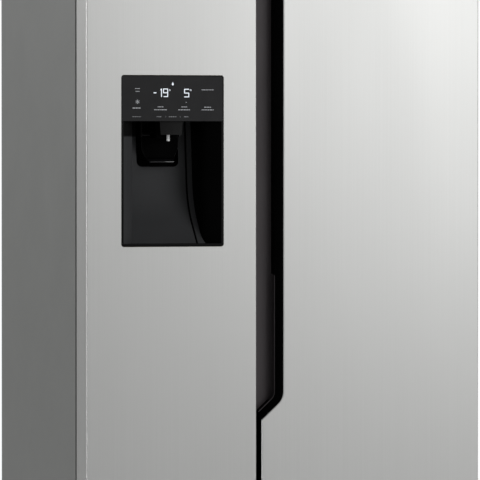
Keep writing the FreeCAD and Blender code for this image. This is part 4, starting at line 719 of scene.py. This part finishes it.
# a label is a line of short dashes, as uneven as words, and a narrow one is a plain bar
def labelOutlines(labels, chance):
    found = []
    for u, v, wide, high in labels:
        if wide < 2 * high:
            found.append([(u - wide / 2, v - high / 2), (u + wide / 2, v - high / 2),
                          (u + wide / 2, v + high / 2), (u - wide / 2, v + high / 2)])
            continue
        at = u - wide / 2
        while at < u + wide / 2 - high:
            dash = min(chance.uniform(*displayLook["dash"]), u + wide / 2 - at)
            if dash > high:
                found.append(strokeCorners((at + high / 2, v), (at + dash - high / 2, v), high))
            at += dash + displayLook["dashGap"]
    return found


def flakeOutlines():
    u, v, radius = displayLook["flake"]
    share, length, thick = displayLook["fork"]
    found = []
    for i in range(6):
        a = math.radians(30 + 60 * i)
        found.append(strokeCorners((u, v), pointAround((u, v), a, radius), displayLook["fineStroke"]))
        fork = pointAround((u, v), a, share * radius)
        for turn in (-40, 40):
            found.append(strokeCorners(fork, pointAround(fork, a + math.radians(turn), length), thick))
    return found


def makeDisplay():
    chance = random.Random(displayLook["seed"])
    words = labelOutlines(displayLook["labels"], chance)
    dimWords = labelOutlines(displayLook["dimLabels"], chance)
    litPiece("displayFigures", "litFigure", figureOutlines())
    litPiece("displayLabels", "litLabel", words + flakeOutlines() + [diskCorners(*displayLook["dot"])])
    litPiece("displayDimLabels", "dimLabel", dimWords)


makeDisplay()
print("the dispenser has its cavity, panel and lit figures")


# geometry node trees for what repeats, each baked to one plain mesh
def geometryTree(name, inputs):
    tree = bpy.data.node_groups.new(name, "GeometryNodeTree")
    tree.interface.new_socket("Geometry", in_out="INPUT", socket_type="NodeSocketGeometry")
    for key, kind in {**inputs, "Finish": "Material"}.items():
        tree.interface.new_socket(key, in_out="INPUT", socket_type="NodeSocket" + kind)
    tree.interface.new_socket("Geometry", in_out="OUTPUT", socket_type="NodeSocketGeometry")
    return tree, tree.nodes.new("NodeGroupInput"), tree.nodes.new("NodeGroupOutput")


def closeTree(tree, given, shape, outcome):
    real = addNode(tree, "GeometryNodeRealizeInstances")
    finish = addNode(tree, "GeometryNodeSetMaterial")
    tree.links.new(shape, real.inputs["Geometry"])
    tree.links.new(real.outputs["Geometry"], finish.inputs["Geometry"])
    tree.links.new(given.outputs["Finish"], finish.inputs["Material"])
    tree.links.new(finish.outputs["Geometry"], outcome.inputs["Geometry"])
    return tree


# the base mesh's edges as one curve with rounded corners
def filletedPath(tree, given):
    path = addNode(tree, "GeometryNodeMeshToCurve")
    fillet = addNode(tree, "GeometryNodeFilletCurve", {"Count": 6}, mode="POLY")
    tree.links.new(given.outputs["Geometry"], path.inputs["Mesh"])
    tree.links.new(path.outputs["Curve"], fillet.inputs["Curve"])
    tree.links.new(given.outputs["Fillet"], fillet.inputs["Radius"])
    return fillet.outputs["Curve"]


def makePipeTree():
    tree, given, outcome = geometryTree("pipes", {"Radius": "Float", "Fillet": "Float"})
    ring = addNode(tree, "GeometryNodeCurvePrimitiveCircle", {"Resolution": 12})
    sweep = addNode(tree, "GeometryNodeCurveToMesh", {"Fill Caps": True})
    tree.links.new(given.outputs["Radius"], ring.inputs["Radius"])
    tree.links.new(filletedPath(tree, given), sweep.inputs["Curve"])
    tree.links.new(ring.outputs["Curve"], sweep.inputs["Profile Curve"])
    return closeTree(tree, given, sweep.outputs["Mesh"], outcome)


# folds stacked along the depth around a narrower core
def makeBellowsTree():
    inputs = {"Fillet": "Float", "Fold Width": "Float", "Fold Thickness": "Float", "Folds": "Int",
              "Pitch": "Vector", "Core Width": "Float", "Core Depth": "Float"}
    tree, given, outcome = geometryTree("bellows", inputs)
    path = filletedPath(tree, given)
    swept = []
    for across, along in (("Fold Thickness", "Fold Width"), ("Core Depth", "Core Width")):
        profile = addNode(tree, "GeometryNodeCurvePrimitiveQuadrilateral")
        sweep = addNode(tree, "GeometryNodeCurveToMesh")
        tree.links.new(given.outputs[across], profile.inputs["Width"])
        tree.links.new(given.outputs[along], profile.inputs["Height"])
        tree.links.new(path, sweep.inputs["Curve"])
        tree.links.new(profile.outputs["Curve"], sweep.inputs["Profile Curve"])
        swept.append(sweep.outputs["Mesh"])
    row = addNode(tree, "GeometryNodeMeshLine")
    folds = addNode(tree, "GeometryNodeInstanceOnPoints")
    both = addNode(tree, "GeometryNodeJoinGeometry")
    start = addNode(tree, "ShaderNodeVectorMath", operation="SCALE")
    half = addNode(tree, "ShaderNodeMath", {1: -0.5, 2: 0.5}, operation="MULTIPLY_ADD")
    tree.links.new(given.outputs["Folds"], half.inputs[0])
    tree.links.new(half.outputs["Value"], start.inputs["Scale"])
    tree.links.new(given.outputs["Pitch"], start.inputs[0])
    tree.links.new(start.outputs["Vector"], row.inputs["Start Location"])
    tree.links.new(given.outputs["Folds"], row.inputs["Count"])
    tree.links.new(given.outputs["Pitch"], row.inputs["Offset"])
    tree.links.new(row.outputs["Mesh"], folds.inputs["Points"])
    tree.links.new(swept[0], folds.inputs["Instance"])
    tree.links.new(folds.outputs["Instances"], both.inputs["Geometry"])
    tree.links.new(swept[1], both.inputs["Geometry"])
    return closeTree(tree, given, both.outputs["Geometry"], outcome)


# screws with a cross recess, each turned to its aim and spun by chance
def makeScrewTree():
    inputs = {"Head Radius": "Float", "Head Height": "Float", "Crown Share": "Float", "Slot Length": "Float",
              "Slot Width": "Float", "Slot Depth": "Float", "Shank Radius": "Float", "Shank Length": "Float",
              "Seed": "Int"}
    tree, given, outcome = geometryTree("screws", inputs)
    head = addNode(tree, "GeometryNodeMeshCone", {"Vertices": 28})
    crown = addNode(tree, "ShaderNodeMath", operation="MULTIPLY")
    tree.links.new(given.outputs["Head Radius"], crown.inputs[0])
    tree.links.new(given.outputs["Crown Share"], crown.inputs[1])
    tree.links.new(crown.outputs["Value"], head.inputs["Radius Top"])
    tree.links.new(given.outputs["Head Radius"], head.inputs["Radius Bottom"])
    tree.links.new(given.outputs["Head Height"], head.inputs["Depth"])
    lift = addNode(tree, "ShaderNodeCombineXYZ")
    tree.links.new(given.outputs["Head Height"], lift.inputs["Z"])
    recess = addNode(tree, "GeometryNodeMeshBoolean", operation="DIFFERENCE", solver="EXACT")
    tree.links.new(head.outputs["Mesh"], recess.inputs["Mesh 1"])
    for across, along in (("Slot Length", "Slot Width"), ("Slot Width", "Slot Length")):
        size = addNode(tree, "ShaderNodeCombineXYZ")
        bar = addNode(tree, "GeometryNodeMeshCube")
        raised = addNode(tree, "GeometryNodeTransform")
        for axis, key in (("X", across), ("Y", along), ("Z", "Slot Depth")):
            tree.links.new(given.outputs[key], size.inputs[axis])
        tree.links.new(size.outputs["Vector"], bar.inputs["Size"])
        tree.links.new(bar.outputs["Mesh"], raised.inputs["Geometry"])
        tree.links.new(lift.outputs["Vector"], raised.inputs["Translation"])
        tree.links.new(raised.outputs["Geometry"], recess.inputs["Mesh 2"])
    shank = addNode(tree, "GeometryNodeMeshCylinder", {"Vertices": 16})
    half = addNode(tree, "ShaderNodeMath", {1: -0.5}, operation="MULTIPLY")
    drop = addNode(tree, "ShaderNodeCombineXYZ")
    sunk = addNode(tree, "GeometryNodeTransform")
    both = addNode(tree, "GeometryNodeJoinGeometry")
    tree.links.new(given.outputs["Shank Length"], shank.inputs["Depth"])
    tree.links.new(given.outputs["Shank Length"], half.inputs[0])
    tree.links.new(half.outputs["Value"], drop.inputs["Z"])
    tree.links.new(drop.outputs["Vector"], sunk.inputs["Translation"])
    tree.links.new(given.outputs["Shank Radius"], shank.inputs["Radius"])
    tree.links.new(shank.outputs["Mesh"], sunk.inputs["Geometry"])
    tree.links.new(sunk.outputs["Geometry"], both.inputs["Geometry"])
    tree.links.new(recess.outputs["Mesh"], both.inputs["Geometry"])
    aim = addNode(tree, "GeometryNodeInputNamedAttribute", {"Name": "aim"}, data_type="FLOAT_VECTOR")
    aligned = addNode(tree, "FunctionNodeAlignRotationToVector", axis="Z")
    spin = addNode(tree, "FunctionNodeRandomValue", {"Max": (0, 0, math.tau)}, data_type="FLOAT_VECTOR")
    turned = addNode(tree, "FunctionNodeRotateRotation", rotation_space="LOCAL")
    placed = addNode(tree, "GeometryNodeInstanceOnPoints")
    tree.links.new(aim.outputs["Attribute"], aligned.inputs["Vector"])
    tree.links.new(given.outputs["Seed"], spin.inputs["Seed"])
    tree.links.new(aligned.outputs["Rotation"], turned.inputs["Rotation"])
    tree.links.new(spin.outputs["Value"], turned.inputs["Rotate By"])
    tree.links.new(given.outputs["Geometry"], placed.inputs["Points"])
    tree.links.new(both.outputs["Geometry"], placed.inputs["Instance"])
    tree.links.new(turned.outputs["Rotation"], placed.inputs["Rotation"])
    return closeTree(tree, given, placed.outputs["Instances"], outcome)


# runs a tree on points and edges, and keeps only the plain mesh it makes
def bakedPiece(name, tree, values, finishName, like, points, edges=(), aims=None, replaced=()):
    base = bpy.data.meshes.new(name + "Base")
    base.from_pydata(points, edges, [])
    if aims:
        base.attributes.new("aim", "FLOAT_VECTOR", "POINT").data.foreach_set(
            "vector", [float(part) for aim in aims for part in aim])
    holder = bpy.data.objects.new(name + "Base", base)
    scene.collection.objects.link(holder)
    modifier = holder.modifiers.new("tree", "NODES")
    modifier.node_group = tree
    given = {**values, "Finish": finishes[finishName]}
    for item in tree.interface.items_tree:
        if item.in_out == "INPUT" and item.name in given:
            modifier[item.identifier] = given[item.name]
    bpy.context.view_layer.update()
    graph = bpy.context.evaluated_depsgraph_get()
    mesh = bpy.data.meshes.new_from_object(holder.evaluated_get(graph))
    mesh.name = name
    holder.modifiers.remove(modifier)
    bpy.data.objects.remove(holder)
    shadeByAngle(mesh)
    source = frame["nodes"][like]
    return newPiece(name, mesh, [finishName], source["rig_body"], replaced)


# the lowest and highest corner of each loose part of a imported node
def looseBoxes(nodeName):
    shape = bmesh.new()
    shape.from_mesh(frame["nodes"][nodeName].data)
    bmesh.ops.remove_doubles(shape, verts=shape.verts, dist=sameDistance)
    seen = set()
    boxes = []
    for first in shape.verts:
        if first in seen:
            continue
        waiting = [first]
        seen.add(first)
        corners = []
        while waiting:
            vert = waiting.pop()
            corners.append(vert.co.copy())
            for edge in vert.link_edges:
                other = edge.other_vert(vert)
                if other not in seen:
                    seen.add(other)
                    waiting.append(other)
        boxes.append([tuple(pick(corner[i] for corner in corners) for i in range(3)) for pick in (min, max)])
    shape.free()
    return boxes


pipeTree = makePipeTree()
bellowsTree = makeBellowsTree()
screwTree = makeScrewTree()

bellowsLook = {"inset": 9.0, "fillet": 14.0, "foldWidth": 17.4, "foldThickness": 1.4, "folds": 5,
               "pitch": 2.35, "coreWidth": 11.0, "coreDepth": 9.8}


def makeBellows(nodeName):
    look = bellowsLook
    low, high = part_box(nodeName)
    inset = look["inset"] * mm
    x0, x1, z0, z1 = low[0] + inset, high[0] - inset, low[2] + inset, high[2] - inset
    y = (low[1] + high[1]) / 2
    corners = [(x0, y, z0), (x1, y, z0), (x1, y, z1), (x0, y, z1)]
    values = {"Fillet": look["fillet"] * mm, "Fold Width": look["foldWidth"] * mm,
              "Fold Thickness": look["foldThickness"] * mm, "Folds": look["folds"],
              "Pitch": (0.0, look["pitch"] * mm, 0.0), "Core Width": look["coreWidth"] * mm,
              "Core Depth": look["coreDepth"] * mm}
    bakedPiece(nodeName + ".bellows", bellowsTree, values, "gasketGrey", nodeName, corners,
               [(0, 1), (1, 2), (2, 3), (3, 0)], replaced=[nodeName])


makeBellows("freezer_door_gasket")
makeBellows("fridge_door_gasket")

screwLook = {                   # millimetres
    "headRadius": 4.6,
    "headHeight": 2.4,
    "crownShare": 0.66,         # the head's top radius as a share of its lower one
    "slotLength": 4.8,
    "slotWidth": 1.1,
    "slotDepth": 2.8,
    "shankRadius": 2.5,
    "shankLength": 3.6,
    "hingeLevel": 1500.0,       # screws higher than this above the floor hold the hinges
    "seed": 7,
}


# the screws of the hinges point up and those of the cover to the rear
def makeScrews():
    look = screwLook
    places = []
    aims = []
    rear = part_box("machine_cover")[1][1]
    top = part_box("upper_hinges")[1][2]
    for low, high in looseBoxes("case_screws"):
        x, y, z = ((low[i] + high[i]) / 2 for i in range(3))
        upright = high[1] - low[1] < high[2] - low[2] or low[2] > look["hingeLevel"] * mm
        places.append((x, y, top) if upright else (x, rear, z))
        aims.append((0, 0, 1) if upright else (0, 1, 0))
    values = {"Head Radius": look["headRadius"] * mm, "Head Height": look["headHeight"] * mm,
              "Crown Share": look["crownShare"], "Slot Length": look["slotLength"] * mm,
              "Slot Width": look["slotWidth"] * mm, "Slot Depth": look["slotDepth"] * mm,
              "Shank Radius": look["shankRadius"] * mm, "Shank Length": look["shankLength"] * mm,
              "Seed": look["seed"]}
    bakedPiece("case_screws.heads", screwTree, values, "zincSteel", "case_screws", places, aims=aims,
               replaced=["case_screws"])


makeScrews()

ribLook = {
    "radius": 1.1,
    "inset": 22.0,                       # from each side, in millimetres
    "shortest": 88.0,                    # narrower parts have no rib
    "levels": (0.22, 0.34, 0.46),        # shares of the height
    "binLevels": (0.72, 0.90),
}


# level ribs across the face of every loose part of a node
def makeRibs(nodeName, face, levels):
    points = []
    edges = []
    inset = ribLook["inset"] * mm
    for low, high in looseBoxes(nodeName):
        if high[0] - low[0] < ribLook["shortest"] * mm:
            continue
        y = low[1] if face == "front" else high[1]
        for level in levels:
            z = low[2] + level * (high[2] - low[2])
            edges.append((len(points), len(points) + 1))
            points += [(low[0] + inset, y, z), (high[0] - inset, y, z)]
    values = {"Radius": ribLook["radius"] * mm, "Fillet": 0.0}
    bakedPiece(nodeName + ".ribs", pipeTree, values, "clearPlastic", nodeName, points, edges)


for drawerName in ("freezer_drawer_upper", "freezer_drawer_lower", "fridge_drawer_upper",
                   "fridge_drawer_lower"):
    makeRibs(drawerName, "front", ribLook["levels"])
for binName in ("freezer_door_bins", "fridge_door_bins"):
    makeRibs(binName, "rear", ribLook["binLevels"])

pipeFillet = 9.0

pipeLook = {                    # millimetres; each run is a list of corners in the compartment
    "discharge": {"radius": 3.0, "finish": "copper",
                  "run": [(190, 182, 78), (190, 160, 60), (190, 146, 42), (-36, 146, 42), (-36, 168, 42),
                          (-36, 168, 60)]},
    "suction": {"radius": 6.0, "finish": "blackRubber",
                "run": [(215, 186, 196), (215, 143, 196), (215, 143, 228), (70, 143, 228), (70, 143, 244)]},
    "chargeStub": {"radius": 3.0, "finish": "copper",
                   "run": [(330, 172, 120), (330, 150, 120), (330, 150, 168)]},
}


def makePipes():
    for name, look in pipeLook.items():
        points = [Vector(corner) * mm for corner in look["run"]]
        values = {"Radius": look["radius"] * mm, "Fillet": pipeFillet * mm}
        bakedPiece("pipe." + name, pipeTree, values, look["finish"], "compressor", points,
                   [(i, i + 1) for i in range(len(points) - 1)])


makePipes()

lipLook = {
    "radius": 1.0,
    "fillet": 24.0,
    "depth": 26.0,      # behind the doors' front
    "run": [(-15.0, 957), (-15.0, 693.5), (-52.5, 659.5)],
}


# the rounded lip of the finger pocket, behind the handle recess's edge, painted lighter grey as a highlight
def makeLip():
    points = [(x * mm, doorFront + lipLook["depth"] * mm, z * mm) for x, z in lipLook["run"]]
    values = {"Radius": lipLook["radius"] * mm, "Fillet": lipLook["fillet"] * mm}
    bakedPiece("handle_trim.lip", pipeTree, values, "recessLitGrey", "handle_trim", points, [(0, 1), (1, 2)])


makeLip()
print("gaskets, screws, ribs and pipes are baked")


floorLook = {"size": 8, "grain": 3.0, "dark": (0.80, 0.80, 0.80), "light": (0.83, 0.83, 0.83), "gloss": 0.7}


def makeFloor():
    material, tree, shader = startMaterial("paleFloor")
    noise = surfaceNoise(tree, floorLook["grain"])
    tree.links.new(mixColours(tree, noise.outputs["Fac"], floorLook["dark"], floorLook["light"]),
                   shader.inputs["Base Color"])
    shader.inputs["Roughness"].default_value = floorLook["gloss"]
    bpy.ops.mesh.primitive_plane_add(size=floorLook["size"], location=(0, 0, 0))
    floor = bpy.context.object
    floor.name = "floor"
    floor.data.materials.append(material)


makeFloor()
